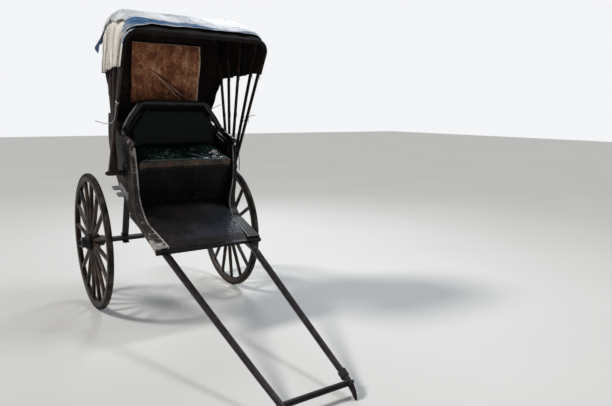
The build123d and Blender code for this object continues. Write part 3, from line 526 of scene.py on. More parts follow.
# Each wood: dark and light of the grain, its way, rubbed edges, dust, roughness, shine
WHEEL_DARK = (0.004, 0.0028, 0.0024)
for row in (
    ("wheel_wood", WHEEL_DARK, (0.090, 0.060, 0.044), out_wheel, (0.26, 0.20, 0.155), 0.12, 0.38, 0.16),
    ("rim_wood", WHEEL_DARK, (0.040, 0.024, 0.017), round_wheel, (0.24, 0.185, 0.145), 0.10, 0.40),
    ("hub_wood", (0.007, 0.006, 0.006), (0.028, 0.020, 0.018), across_body, (0.12, 0.10, 0.09), 0.15, 0.45),
    ("shaft_wood", (0.009, 0.007, 0.009), (0.030, 0.020, 0.021), along_body, (0.085, 0.060, 0.055), 0.12, 0.34),
    ("worn_rail_wood", (0.0045, 0.0042, 0.0042), (0.018, 0.014, 0.013), up_body, (0.12, 0.105, 0.09), 0.15, 0.38),
    ("body_wood", (0.004, 0.0038, 0.0038), (0.016, 0.013, 0.012), along_body, (0.070, 0.060, 0.052), 0.15, 0.40),
    ("panel_wood", (0.009, 0.0075, 0.007), (0.048, 0.036, 0.030), along_body, (0.17, 0.14, 0.12), 0.35, 0.55),
    ("painted_board", (0.0020, 0.0018, 0.0018), (0.0075, 0.0058, 0.0052), across_body, (0.040, 0.033, 0.028),
     0.10, 0.40, 0.09),
    ("red_piping", (0.06, 0.020, 0.015), (0.20, 0.060, 0.040), up_body, None, 0.15, 0.6),
    ("bow_wood", (0.010, 0.007, 0.006), (0.050, 0.030, 0.024), up_body, (0.16, 0.11, 0.085), 0.15, 0.40),
):
    wood(*row)
# Each peeling wood: dark, light and paint, then how much of the paint is left
for row in (
    ("rail_right_wood", (0.004, 0.003, 0.003), (0.052, 0.034, 0.026), (0.42, 0.38, 0.35), 0.60, 0.8, 0.13),
    ("pale_edging", (0.020, 0.017, 0.015), (0.090, 0.080, 0.070), (0.24, 0.23, 0.22), 0.50, 0.7, 0.10),
    ("peeling_edging", (0.06, 0.05, 0.045), (0.24, 0.21, 0.19), (0.50, 0.48, 0.46), 0.48, 0.7, 0.10),
):
    peeling(*row)
# Each iron: plain and rusted colour, share of rust, metallic, rubbed edges
for row in (
    ("black_iron", (0.012, 0.011, 0.012), (0.060, 0.028, 0.016), 0.5, 0.4, (0.16, 0.15, 0.14)),
    ("nail_iron", (0.030, 0.027, 0.026), (0.090, 0.045, 0.026), 0.6, 0.5, (0.26, 0.24, 0.22)),
    ("pale_iron", (0.260, 0.255, 0.255), (0.110, 0.070, 0.050), 0.4, 0.3, (0.50, 0.49, 0.48)),
    ("pale_wire", (0.34, 0.34, 0.35), (0.16, 0.12, 0.10), 0.35, 0.5, (0.50, 0.50, 0.50)),
):
    iron(*row)
rexine("rexine", (0.0025, 0.0135, 0.0090), (0.24, 0.27, 0.24), 0.7, 0.06, 0.75, painted_glints=True)
rexine("back_rexine", (0.0012, 0.0028, 0.0029), (0.026, 0.034, 0.032), 0.25, 0.38, 0.15)
rexine("rexine_worn", (0.0022, 0.0036, 0.0034), (0.22, 0.23, 0.22), 0.45, 0.10, 0.45, left_only=True)
lining("lining", (0.010, 0.008, 0.007), (0.040, 0.026, 0.019))
lining("curtain_lining", (0.016, 0.010, 0.008), (0.085, 0.048, 0.034))
pale_sheet("pale_sheet", False)
pale_sheet("bordered_sheet", True)
faded("panel_hem", (0.70, 0.52, 0.38), (0.42, 0.22, 0.13))
faded("blue_scrap", (0.050, 0.090, 0.150), (0.020, 0.030, 0.045))
for make in (tyre_rubber, footboard_sheet, cushion_band, side_cloth, blue_edge, rust_sheet, black_cord):
    make()

# Finishes whose name isn't the node's material slot
coated = {
    "seat_cloth": "rexine", "hood_canvas": "side_cloth", "hood_band": "pale_sheet", "curtain_cloth": "side_cloth",
    "cord": "black_cord",
}
special = {
    "side_rail_right": "rail_right_wood", "side_panel_left": "panel_wood", "side_panel_right": "panel_wood",
    "seat_box_front": "painted_board", "side_lugs_left": "pale_iron", "side_lugs_right": "pale_iron",
}
for name, piece in nodes.items():
    finish = "rim_wood" if name.endswith("felloe") else special.get(name, coated.get(slot_of[name], slot_of[name]))
    piece.data.materials.clear()
    piece.data.materials.append(finishes[finish])


# Shapes of the hood, as the bows carry it, in the level frame. Each bow: its angle and height
PIVOT = (0.095, 0.590)
BOWS = ((116.0, 1.010), (107.5, 1.060), (97.0, 1.085), (84.5, 1.074), (78.5, 1.056))
SKIRT_Z = (1.222, 1.262, 1.312, 1.366, 1.386)
BOW_PITCH = 0.0134
BOW_HALF = tuple(0.440 + BOW_PITCH * i for i in range(5))
BOW_CORNER = 0.092
BOW_LEG_Y = 0.4335
CLOTH_OUT = 0.0082
CLOTH_THICK, SHEET_THICK = 0.0025, 0.0022
STERN_X, STERN_Z, STERN_HALF, STERN_ROUND = -0.2964, 0.9004, 0.380, 0.060
BEHIND_BOW = 0.0144
PANEL_THICK, RAG_THICK = 0.0018, 0.0016
# Where the pale sheet ends on the left and right, as shares of the way over the hood
SHEET_EDGES = (0.125, 0.815)


def hoop(half, top, corner, foot, t):
    """A point of an upside-down U, at a share t of its way from left foot to right, and its outward way."""
    leg, bend, flat = top - corner - foot, corner * pi / 2, 2 * (half - corner)
    side = 1 if t <= 0.5 else -1
    s = min(t, 1 - t) * (2 * leg + 2 * bend + flat)
    if s <= leg:
        return side * half, foot + s, (side, 0.0)
    if s > leg + bend:
        return side * (half - corner - (s - leg - bend)), top, (0.0, 1.0)
    a = (s - leg) / corner
    return side * (half - corner + corner * cos(a)), top - corner + corner * sin(a), (side * cos(a), sin(a))


def bow_way(k):
    """The way that a bow's legs run, and the way behind it."""
    a = radians(BOWS[k][0])
    return Vector((cos(a), 0, sin(a))), Vector((-sin(a), 0, cos(a)))


def bow_foot(k):
    """How far along a bow's leg the cloth begins."""
    return (SKIRT_Z[k] - PIVOT[1]) / sin(radians(BOWS[k][0]))


def over_bow(place, t, out=CLOTH_OUT):
    """A point on the cloth over the hood: place 0 to 4 runs from the rear bow to the front one."""
    i = min(int(place), 3)

    def at(k):
        y, rise, way = hoop(BOW_HALF[k] + out, BOWS[k][1] + out, BOW_CORNER + out, bow_foot(k), t)
        up = bow_way(k)[0]
        return Vector((PIVOT[0], y, PIVOT[1])) + up * rise, Vector((0, way[0], 0)) + up * way[1]

    p, n = at(i)
    q, m = at(i + 1)
    return p.lerp(q, place - i), n.lerp(m, place - i).normalized()


def smooth_step(low, high, value):
    share = min(1.0, max(0.0, (value - low) / (high - low)))
    return share * share * (3 - 2 * share)


def groove(value, wide):
    """1 at zero, falling to 0 at the given distance."""
    return smooth_step(0.0, 1.0, 1 - abs(value) / wide)


def ripple(point, seed, scale=1.0):
    """Soft folds between -1 and 1, over a point or along a single measure."""
    place = Vector(point).to_3d() if hasattr(point, "__len__") else Vector((point, 0, 0))
    return noise.noise(place * scale + Vector((seed, 2.7 * seed, 0.3 * seed)))


def crest(point, seed, power):
    """Thin folds: 1 along wandering lines, falling fast beside them."""
    return (1 - abs(ripple(point, seed))) ** power


def torn(place, seed, jag):
    """How far a torn edge hangs at a place along it."""
    return jag * (0.65 * ripple(place, seed, 1.7) + 0.35 * abs(ripple(place, seed + 4, 7.5)))


def grid(along, across, at):
    """Rows of at(share along, share across)."""
    return [[at(i / along, j / across) for j in range(across + 1)] for i in range(along + 1)]


def skin(name, rows, wefts=None):
    """A mesh from rows of level points; wefts keep each point's place on the cloth for its finish."""
    width = len(rows[0])
    starts = [i * width + j for i in range(len(rows) - 1) for j in range(width - 1)]
    mesh = bpy.data.meshes.new(name)
    mesh.from_pydata(
        [LEVEL @ Vector(p) for row in rows for p in row], [], [(a, a + 1, a + width + 1, a + width) for a in starts],
    )
    if wefts:
        layer = mesh.attributes.new("weft", "FLOAT_VECTOR", "POINT")
        for corner, row_weft in zip(layer.data, [weft for row in wefts for weft in row]):
            corner.vector = row_weft
    return stand(name, mesh)


def parted(pairs):
    """Rows of points and rows of wefts, from rows of both."""
    return [[p for p, w in row] for row in pairs], [[w for p, w in row] for row in pairs]


def use(piece, *names):
    """Give a piece its finishes."""
    piece.data.materials.clear()
    for name in names:
        piece.data.materials.append(finishes[name])


def choose(piece):
    """Make a piece the only one picked."""
    if bpy.context.object and bpy.context.object.mode != "OBJECT":
        bpy.ops.object.mode_set(mode="OBJECT")
    bpy.ops.object.select_all(action="DESELECT")
    piece.select_set(True)
    bpy.context.view_layer.objects.active = piece


def change(piece, kind, **values):
    """Apply one modifier to a piece."""
    modifier = piece.modifiers.new(kind.lower(), kind)
    for key, value in values.items():
        setattr(modifier, key, value)
    choose(piece)
    bpy.ops.object.modifier_apply(modifier=modifier.name)


def smooth(piece):
    for face in piece.data.polygons:
        face.use_smooth = True


def wall(piece, thick, inside=0, offset=0.0):
    """Give a sheet its thickness, with another finish on its inner face."""
    change(piece, "SOLIDIFY", thickness=thick, offset=offset, use_even_offset=False, material_offset=inside)
    smooth(piece)


def subdivide(piece):
    change(piece, "SUBSURF", levels=1, render_levels=1)


def held(piece, bay):
    """Bake a sheet's place into its mesh; its points on the two neighbouring bows are worked out but not used."""
    start, end = over_bow(bay, 0.5)[0], over_bow(bay + 0.9999, 0.5)[0]
    LEVEL @ start
    LEVEL @ end
    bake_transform(piece)


def run_length(points):
    return sum((Vector(p) - Vector(q)).length for p, q in zip(points, points[1:]))


def flat_size(rows):
    """Width and length of a sheet, measured along its own surface."""
    column = len(rows[0]) // 2
    return run_length(rows[len(rows) // 2]), run_length([row[column] for row in rows])


# Hood cloth: a dark-lined cover over the bows, and a torn pale sheet thrown over it
def hood_cover():
    """One cover over all the bows, cut at the bows into one part for each pair of bows."""
    across, along = 120, 14
    for bay in range(4):
        def at(share, t):
            place = bay + share
            point, normal = over_bow(place, t)
            slack = sin(pi * share)
            top = max(0.0, normal.z)
            fold = 0.008 * slack * ripple((place, t * 16), 3.0)
            phase = 2 * pi * place * 2.6 + 2.2 * ripple((place, t * 5), 8.0)
            wave = (1 - top) ** 2 * 0.011 * sin(phase) * (0.25 + 0.75 * slack)
            edge = max(0.0, 1 - min(t, 1 - t) / 0.045)
            low = edge * (0.012 + 0.014 * ripple((place, 0 if t < 0.5 else 9), 5.0, 1.9))
            hang = smooth_step(0.84, 1.0, t)
            pleat = abs(ripple((place * 3.1, t * 1.3), 33.0))
            wave += hang * (0.022 * (1 - smooth_step(0.0, 2.8, place)) + 0.026 * pleat)
            back = 0.010 * hang * (1 - smooth_step(0.0, 1.0, place))
            # Painted shade: the third weft marks the valleys of the hanging pleats, for the finish to darken.
            stain_and_fold_shade = smooth_step(0.80, 0.90, t) * (1 - smooth_step(0.02, 0.22, pleat))
            out = fold + wave - 0.012 * slack * top - 0.001
            return point + normal * out - Vector((back, 0, low)), (place, t, stain_and_fold_shade)

        rows, wefts = parted(grid(along, across, at))
        piece = skin(f"hood_cover_{bay + 1}", rows, wefts)
        use(piece, "side_cloth", "lining")
        # Faces near the left edge take the lining outside; so does most of the front bay, black as painted shade
        # under the sheet's lip.
        for number, face in enumerate(piece.data.polygons):
            t = (number % across) / across
            if bay == 3 and number // across > 2 and t < 0.84 or t < 0.16:
                face.material_index = 1
        wall(piece, CLOTH_THICK, 1, -1.0)
        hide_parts(f"hood_cloth_{bay + 1}")
        held(piece, bay)
        flat_size(rows)


def hood_sheet():
    """The pale sheet over the cover: folded on top, torn along its sides, blue at its front edge."""
    for bay in range(4):
        def at(share, part):
            place = bay + share
            left = SHEET_EDGES[0] - torn(place, 21.0, 0.030)
            right = SHEET_EDGES[1] + torn(place, 12.0, 0.032) + 0.055 * max(0.0, place - 3.2)
            t = left + (right - left) * part
            # Over the front bay the sheet stops short of the front bow except at the right corner, baring the black
            # cover as painted shade.
            short = 0.04 + 0.42 * (1 - smooth_step(0.71, 0.80, t)) if bay == 3 else 0.0
            point, normal = over_bow(bay + share * (1 - short * (1 + 0.12 * ripple(t * 22, 29.0))), t)
            slack = 0.35 + 0.65 * sin(pi * share)
            lift = 0.0035 + 0.0085 * slack * crest((place * 0.5, t * 13), 31.0, 3)
            lift += 0.006 * crest((place * 1.4, t * 4), 17.0, 4) * slack
            lift += 0.008 * min(1.0, abs(t - 0.5) / 0.5) ** 4 * (0.5 + ripple((place, t * 3), 41.0, 2.6))
            gather = crest((place * 2.1 + t * 16, t * 6), 27.0, 3)
            lift += 0.010 * groove(t - 0.77, 0.10) * gather * (0.5 + 0.5 * slack)
            return point + normal * lift, (place, t, 0.22 + 0.75 * groove(t - 0.72, 0.42))

        rows, wefts = parted(grid(16, 130, at))
        piece = skin(f"hood_sheet_{bay + 1}", rows, wefts)
        use(piece, "bordered_sheet")
        wall(piece, SHEET_THICK)
        held(piece, bay)
        flat_size(rows)


def blue_rag():
    """A torn blue rag hanging off the rear bow's right corner."""
    def at(fall, part):
        point = over_bow(0.02 + 0.10 * (1 - part), 0.765 + 0.085 * part, CLOTH_OUT + 0.014)[0]
        point += Vector((-0.030, -0.016, -0.105)) * fall * (1 + 0.35 * ripple(part * 3.2, 141.0))
        return point + Vector((-0.6, -0.8, 0)) * (0.016 * sin(part * 9 + fall * 2) * fall + 0.010 * fall)

    rows = grid(10, 16, at)
    piece = skin("blue_rag", rows)
    use(piece, "blue_scrap")
    subdivide(piece)
    wall(piece, RAG_THICK)
    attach(piece, "hood_bow_1")
    flat_size(rows)


def hood_hem():
    """The front edge of the sheet, rolled down over the front bow: mostly black lining as painted shade under the
    lip, pale between blue bands near the right corner, and cream at the corner.
    """
    # Each step of the roll: how far ahead of the bow's face, and how far out from it
    profile = (
        (0.0006, 0.0082), (0.0070, 0.0090), (0.0140, 0.0086), (0.0205, 0.0062), (0.0245, 0.0010),
        (0.0250, -0.0050), (0.0238, -0.0110), (0.0205, -0.0150), (0.0175, -0.0160),
    )
    count = len(profile) - 1
    ahead = -bow_way(4)[1]

    def at(t, far):
        forward, out = profile[round(far * count)]
        point, normal = over_bow(3.9999, t, 0.0)
        wobble = 0.0022 * ripple(t * 30, 6.0)
        droop = 0.004 * (0.5 + ripple(t * 9, 16.0)) * max(0.0, normal.z)
        return point + ahead * (forward + wobble * far) + normal * (out - droop * far + wobble * 0.5)

    rows = grid(150, count, at)
    piece = skin("hood_hem", rows)
    use(piece, "pale_sheet", "lining", "blue_edge", "side_cloth")
    # Painted shade: the black lining covers most of the hem, standing in for the shade under the sheet's lip.
    for number, face in enumerate(piece.data.polygons):
        along, down = number // count, number % count
        if along < 116 + 5 * down + 6 * ripple((along * 0.2, down * 0.9), 15.0) or down > 2:
            face.material_index = 1
        elif along < 134:
            face.material_index = 0 if down % 2 else 2
        else:
            face.material_index = 3
    subdivide(piece)
    wall(piece, SHEET_THICK)
    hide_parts("hood_front_band")
    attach(piece, "hood_bow_5")
    run_length([row[3] for row in rows])
    run_length(rows[75])


def parts_hoop(half, top, corner, foot, t):
    """The same U as hoop, with its legs, corners and top at fixed shares of the way."""
    marks = (0.0, 0.13, 0.25, 0.75, 0.87, 1.0)
    leg, bend = top - corner - foot, corner * pi / 2
    lengths = (leg, bend, 2 * (half - corner), bend, leg)
    k = next(k for k in range(5) if t <= marks[k + 1] or k == 4)
    run = sum(lengths[:k]) + lengths[k] * (t - marks[k]) / (marks[k + 1] - marks[k])
    return hoop(half, top, corner, foot, min(1.0, run / sum(lengths)))


def curtain_point(fall, t):
    """A point of the rear curtain: fall 0 at the rear bow to 1 at the stern."""
    up, behind = bow_way(0)
    out = CLOTH_OUT
    y, rise, way = parts_hoop(BOW_HALF[0] + out, BOWS[0][1] + out, BOW_CORNER + out, bow_foot(0), t)
    high = Vector((PIVOT[0], y, PIVOT[1])) + up * rise + behind * BEHIND_BOW
    y, back, way = parts_hoop(STERN_HALF, 0.004, STERN_ROUND, -0.062, t)
    return high.lerp(Vector((STERN_X - back, y, STERN_Z)), fall)


def hang_behind(piece, rows):
    """Bake a cloth's place into its mesh; its ends at the stern and the rear bow are worked out but not used."""
    start, end = LEVEL @ curtain_point(1.0, 0.5), LEVEL @ curtain_point(0.0, 0.5)
    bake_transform(piece)
    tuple(start)
    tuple(end)
    flat_size(rows)


def rear_curtain():
    """The sheet behind the seat: dark inside, faded outside, hung from the rear bow to the stern."""
    across = 120

    def at(fall, t):
        point = curtain_point(fall, t)
        slack = sin(pi * fall) ** 0.7
        middle = 1 - min(1.0, abs(t - 0.5) / 0.25) ** 3
        folds = 0.010 * ripple((t * 14, fall * 2), 51.0) + 0.006 * ripple((t * 30, fall * 4), 55.0)
        point.x += slack * (0.014 * middle + folds * (0.4 + 0.6 * middle))
        out = 1 if t < 0.5 else -1
        point.y += slack * (1 - middle) * 0.010 * ripple((t * 9, fall * 5), 58.0) * out
        return point

    first = [curtain_point(0.0, j / across) - bow_way(0)[1] * 0.0138 for j in range(across + 1)]
    rows = [first] + grid(40, across, at)
    piece = skin("rear_curtain_sheet", rows)
    use(piece, "curtain_lining", "side_cloth")
    wall(piece, CLOTH_THICK, 1, -1.0)
    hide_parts("rear_curtain")
    hang_behind(piece, rows)


def rear_panel():
    """The rust-brown cloth before the curtain, with two slanting creases and a pale hem."""
    across = 110
    top, tall = 0.125, 0.735
    right, span = -0.245, 0.53

    def at(share, part):
        fall = top + tall * share
        y = right + span * part
        point = curtain_point(fall, max(0.26, min(0.74, 0.5 - (y / 2) / 0.72)))
        slack = sin(pi * share) ** 0.6
        slant = fall - 0.575 - 1.13 * y
        lower = fall - 0.540 - 1.45 * y
        upright = y - 0.21 + 0.25 * (fall - 0.2)
        wide, narrow = groove(y - 0.04, 0.21) ** 0.5, groove(y - 0.06, 0.17) ** 0.5
        ridge = max(
            groove(slant, 0.028) * wide, 0.8 * groove(lower - 0.055, 0.022) * narrow,
            0.7 * groove(upright, 0.012) * groove(fall - 0.24, 0.16),
        )
        valley = max(groove(slant + 0.034, 0.026) * wide, 0.8 * groove(lower - 0.022, 0.024) * narrow)
        crease = crest(((y * 0.8 + fall * 0.55) * 9.0, y * 1.5), 61.0, 5) + 1.5 * ridge - 1.2 * valley
        other = crest((y * 6 - fall * 4, fall * 2), 66.0, 6)
        soft = ripple((y * 8, fall * 5), 69.0)
        point.x += 0.022 + slack * (0.010 + 0.007 * crease + 0.006 * other + 0.004 * soft)
        point.y = y + 0.006 * ripple((fall * 6, part * 2), 64.0)
        # The wefts keep each point's crease ridge and valley, for the finish's painted highlight and painted shade.
        return point, (ridge, valley, 0.0)

    rows, wefts = parted(grid(90, across, at))
    panel = skin("rear_panel", rows, wefts)
    use(panel, "rust_sheet", "rust_sheet", "panel_hem")
    for number, face in enumerate(panel.data.polygons):
        if number % across >= across - 3 or number // across < 1:
            face.material_index = 2
    wall(panel, PANEL_THICK)
    hang_behind(panel, rows)


# Padding: each pad is swollen by a cloth simulation from its solid
def shift_all(piece, move):
    """Move every corner by what move returns for its level place and normal."""
    mesh = piece.data
    normals = [LEVEL_BACK.to_3x3() @ v.normal for v in mesh.vertices]
    for vertex, normal in zip(mesh.vertices, normals):
        vertex.co = LEVEL @ move(LEVEL_BACK @ vertex.co, normal)
    mesh.update()


def swell(piece, pressure, cap):
    """Blow the pad up against its own cloth and keep the result, no corner farther off than cap."""
    start = [v.co.copy() for v in piece.data.vertices]
    fill = piece.modifiers.new("fill", "CLOTH")
    cloth = fill.settings
    cloth.quality = 6
    cloth.mass = 0.3
    cloth.tension_stiffness = cloth.compression_stiffness = 15.0
    cloth.shear_stiffness = 5.0
    cloth.bending_stiffness = 0.5
    cloth.use_pressure = True
    cloth.uniform_pressure_force = pressure
    cloth.effector_weights.gravity = 0.0
    fill.collision_settings.use_collision = False
    for step in range(1, 21):
        bpy.context.scene.frame_set(step)
    shape = piece.evaluated_get(bpy.context.evaluated_depsgraph_get()).data
    ends = [v.co.copy() for v in shape.vertices]
    piece.modifiers.remove(fill)
    bpy.context.scene.frame_set(1)
    for vertex, a, b in zip(piece.data.vertices, start, ends):
        step = b - a
        if step.length > cap:
            step *= cap / step.length
        vertex.co = a + step
    piece.data.update()


def pad(node, shrink, pressure, cap, voxel, finish, shape):
    """A padded copy of a solid: closed, even, swollen, then shaped by its seams and creases."""
    mesh = nodes[node].data.copy()
    mesh.materials.clear()
    piece = stand(f"{node}_pad", mesh)
    shell = bmesh.new()
    shell.from_mesh(mesh)
    bmesh.ops.remove_doubles(shell, verts=shell.verts, dist=0.00002)
    shell.to_mesh(mesh)
    shell.free()
    change(piece, "REMESH", mode="VOXEL", voxel_size=voxel)
    shift_all(piece, lambda place, normal: place - normal * shrink)
    change(piece, "SMOOTH", factor=0.6, iterations=6)
    swell(piece, pressure, cap)
    change(piece, "SMOOTH", factor=0.4, iterations=3)
    subdivide(piece)
    shift_all(piece, shape)
    smooth(piece)
    use(piece, *finish)
    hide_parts(node)
    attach(piece, "body")
    return piece


def seat_cushion():
    def shape(p, n):
        top = max(0.0, n.z)
        crown = 0.007 * (1 - (p.y / 0.357) ** 4) * (1 - ((p.x - 0.150) / 0.146) ** 2) * top
        sit = -0.008 * (groove(p.y - 0.16, 0.17) + groove(p.y + 0.16, 0.17)) * groove(p.x - 0.15, 0.14) * top
        left = groove(p.y - 0.21, 0.20) * (0.35 + 0.65 * groove(p.x - 0.21, 0.13))
        run, along = p.y * 0.55 - p.x * 0.85, p.y * 0.85 + p.x * 0.55
        slash = p.y * 0.92 + (p.x - 0.21) * 0.75
        fold = 0.0060 * crest((run * 26, along * 5), 71.0, 4) + 0.0030 * crest((run * 52, along * 9, 3), 75.0, 5)
        ridge = 0.0065 * crest((slash * 34, (p.x - p.y) * 4), 73.0, 3) * groove(p.y - 0.17, 0.19)
        crease = (fold + ridge) * left * top
        line = p.y + 0.075 + 0.5 * (p.x - 0.2) + 0.012 * ripple(p.x * 9, 77.0)
        lip = 0.0050 * groove(line, 0.010) - 0.003 * groove(line - 0.016, 0.012)
        crease += lip * groove(p.x - 0.19, 0.11) * top
        crease += 0.0035 * groove(p.y + 0.10 - 0.35 * (p.x - 0.12), 0.009) * groove(p.x - 0.10, 0.07) * top
        loose = 0.0022 * ripple(p, 79.0, 14.0) * top
        seam = -0.0028 * groove(p.z - 0.7435, 0.0045) if n.x > 0.5 else 0.0
        sag = 0.004 * ripple(p.y * 6, 80.0) * max(0.0, n.x)
        p = p + n * (crown + sit + crease + loose + seam + sag)
        p.z = max(p.z, CUSHION_LOW)
        p.x = max(CUSHION_REAR, min(CUSHION_FRONT, p.x))
        limit = CUSHION_HALF + (p.z - 0.69) * SIDE_FLARE
        p.y = max(-limit, min(limit, p.y))
        return p

    piece = pad("seat_cushion", 0.0045, 4.0, 0.012, 0.0055, ("rexine", "cushion_band"), shape)
    for face in piece.data.polygons:
        middle = LEVEL_BACK @ face.center
        turn = LEVEL_BACK.to_3x3() @ face.normal
        if middle.x > 0.262 and middle.z < SEAM_Z and turn.x > 0.35:
            face.material_index = 1


def back_cushion():
    def shape(p, n):
        front = max(0.0, n.x)
        high = (p.z - 0.745) / 0.29
        crown = 0.006 * (1 - (p.y / 0.343) ** 4) * max(0.0, 1 - (2 * high - 1) ** 2)
        hollow = -0.007 * groove(high - 0.45, 0.45) * groove(p.y, 0.34)
        fold = crest(((p.z * 0.4 + p.y) * 11, p.z * 3), 91.0, 4) * groove(abs(p.y) - 0.30, 0.13)
        crease = 0.0045 * fold + 0.0015 * ripple(p, 95.0, 11.0)
        seam = -0.0035 * groove(p.y - 0.272, 0.005)
        low = 0.0035 * crest((p.y * 8, p.z * 14), 97.0, 5) * groove(high - 0.08, 0.2)
        return p + n * ((crown + hollow + crease + seam + low) * front)

    pad("back_cushion", 0.004, 4.0, 0.012, 0.0055, ("back_rexine",), shape)


def side_pads():
    for side, sign in SIDES:
        def shape(p, n):
            fold = crest((p.x * 13, p.z * 9, sign), 101.0, 4)
            return p + n * (0.004 * fold + 0.0025 * ripple(p, 103.0, 16.0)) * max(0.0, -n.y * sign)

        pad(f"side_pad_{side}", 0.003, 3.0, 0.008, 0.005, ("back_rexine",), shape)


def arm_roll():
    """The padded roll over the arms and the back, pinched where it bends."""
    def shape(p, n):
        run = abs(p.y) + p.x * 0.9 + p.z * 0.8
        pinch = crest((run * 13, p.y * 2), 111.0, 5) * (0.4 + 0.6 * max(0.0, n.z))
        return p + n * (0.0025 * ripple(p, 113.0, 13.0) - 0.0035 * pinch)

    pad("arm_roll", 0.0025, 3.0, 0.006, 0.005, ("rexine_worn",), shape)


# Small fittings, each shaped from a primitive
PIN_END, AXLE_END = 0.5030, 0.6430


def settle(piece):
    """Put a piece's place into its mesh."""
    choose(piece)
    bpy.ops.object.transform_apply(location=True, rotation=True, scale=True)


def edit(piece, wanted):
    """Open a piece and select the faces for which wanted(normal) is true."""
    choose(piece)
    bpy.ops.object.mode_set(mode="EDIT")
    bpy.ops.mesh.select_mode(type="FACE")
    bpy.ops.mesh.select_all(action="DESELECT")
    shell = bmesh.from_edit_mesh(piece.data)
    for face in shell.faces:
        face.select_set(wanted(face.normal))
    shell.select_flush_mode()
    bmesh.update_edit_mesh(piece.data)


def leave_edit():
    bpy.ops.object.mode_set(mode="OBJECT")


def turn_out():
    """Point every face of the open piece outward."""
    bpy.ops.mesh.select_all(action="SELECT")
    bpy.ops.mesh.normals_make_consistent(inside=False)


def cylinder(sides, radius, depth, z):
    bpy.ops.object.select_all(action="DESELECT")
    bpy.ops.mesh.primitive_cylinder_add(vertices=sides, radius=radius, depth=depth, location=(0, 0, z))
    return bpy.context.object


def join_all(made, name):
    bpy.ops.object.select_all(action="DESELECT")
    for one in made:
        one.select_set(True)
    bpy.context.view_layer.objects.active = made[0]
    bpy.ops.object.join()
    piece = bpy.context.object
    piece.name = piece.data.name = name
    return piece


def smooth_by_angle(piece, angle):
    choose(piece)
    bpy.ops.object.shade_smooth_by_angle(angle=radians(angle))


def frame_at(point, up, along=(0, 1, 0)):
    """A matrix that sets a fitting's Z along up at a level point."""
    z = (LEVEL.to_3x3() @ Vector(up)).normalized()
    x = LEVEL.to_3x3() @ Vector(along)
    x = (x - z * x.dot(z)).normalized()
    turned = Matrix((x, z.cross(x), z)).transposed().to_4x4()
    return Matrix.Translation(LEVEL @ Vector(point)) @ turned


def domed_head(radius, rise):
    """A nail or screw head, its flat side at zero."""
    head = cylinder(12, radius, rise * 0.5, rise * 0.25)
    edit(head, lambda n: n.z > 0.9)
    bpy.ops.mesh.inset(thickness=radius * 0.35, depth=rise * 0.35)
    bpy.ops.mesh.inset(thickness=radius * 0.3, depth=rise * 0.15)
    leave_edit()
    settle(head)
    return head


def hex_nut(across, thick):
    """A nut with chamfered corners round a bolt end."""
    nut = cylinder(6, across * 0.577, thick, thick / 2)
    edit(nut, lambda n: n.z > 0.9)
    bpy.ops.mesh.inset(thickness=across * 0.16, depth=0)
    bpy.ops.mesh.extrude_region_move(TRANSFORM_OT_translate={"value": (0, 0, thick * 0.45)})
    leave_edit()
    change(nut, "BEVEL", width=across * 0.04, segments=2)
    settle(nut)
    return nut


def scatter(master, name, places, finish):
    """Copies of one iron fitting at several frames, joined into one piece."""
    made = []
    for i, where in enumerate(places):
        mesh = master.data.copy()
        mesh.transform(where)
        made.append(stand(f"{name}_{i}", mesh))
    piece = join_all(made, name)
    use(piece, finish)
    smooth_by_angle(piece, 35)
    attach(piece, "body")


def drop(piece):
    bpy.data.objects.remove(piece, do_unlink=True)


# The rails' front curve, for the strips and nails that follow it
LEAN = radians(2.0)
HINGE = (0.355, 0.332)


def leaned(x, y, z):
    """A point of an upright left side, leaned out as the sides are."""
    dy, dz = y - HINGE[0], z - HINGE[1]
    return (x, HINGE[0] + dy * cos(LEAN) + dz * sin(LEAN), HINGE[1] - dy * sin(LEAN) + dz * cos(LEAN))


def arc_points(a, b, c, count):
    """Points on the circle through three points, from a to c."""
    (ax, ay), (bx, by), (cx, cy) = a, b, c
    d = 2 * (ax * (by - cy) + bx * (cy - ay) + cx * (ay - by))
    aa, bb, cc = ax ** 2 + ay ** 2, bx ** 2 + by ** 2, cx ** 2 + cy ** 2
    ux = (aa * (by - cy) + bb * (cy - ay) + cc * (ay - by)) / d
    uy = (aa * (cx - bx) + bb * (ax - cx) + cc * (bx - ax)) / d
    r = hypot(ax - ux, ay - uy)
    first = atan2(ay - uy, ax - ux)
    turn = (atan2(cy - uy, cx - ux) - first + pi) % (2 * pi) - pi
    angles = [first + turn * i / count for i in range(count + 1)]
    return [(ux + r * cos(angle), uy + r * sin(angle)) for angle in angles]


def rail_curve():
    """The rail's front face as (x, z), from its nose to its top."""
    points = [(0.786 - 0.036 * i, 0.357 + 0.00062 * i) for i in range(8)]
    points += arc_points((0.498, 0.362), (0.385, 0.415), (0.343, 0.530), 12)
    points += arc_points((0.343, 0.530), (0.326, 0.612), (0.303, 0.691), 5)[1:]
    points += [(0.303 - 0.067 * i / 4, 0.691 + 0.1405 * i / 4) for i in range(1, 5)]
    return points


INNER_ARC = arc_points((0.415, 0.322), (0.525, 0.339), (0.660, 0.3455), 12)


def rail_inner(x, z):
    """Inner edge of the upright left rail at a point of its front face."""
    if z <= 0.415:
        return 0.284 + (0.788 - max(x, 0.385)) * 0.094
    for (z0, y0), (z1, y1) in zip(INNER_ARC, INNER_ARC[1:]):
        if z <= z1:
            return y0 + (y1 - y0) * (z - z0) / (z1 - z0)
    return 0.3455


def along_rail(sign, inset, wide, lift, stop=None):
    """Pairs of level points on the rail's front face, each with its outward normal."""
    curve = rail_curve()[:stop]
    rows = []
    for i, (x, z) in enumerate(curve):
        before, after = curve[max(i - 1, 0)], curve[min(i + 1, len(curve) - 1)]
        dx, dz = after[0] - before[0], after[1] - before[1]
        run = hypot(dx, dz)
        nx, nz = dz / run, -dx / run
        pair = [leaned(x + nx * lift, rail_inner(x, z) + y, z + nz * lift) for y in (inset, inset + wide)]
        rows.append(([(px, sign * py, pz) for px, py, pz in pair], (nx, 0, nz)))
    return rows


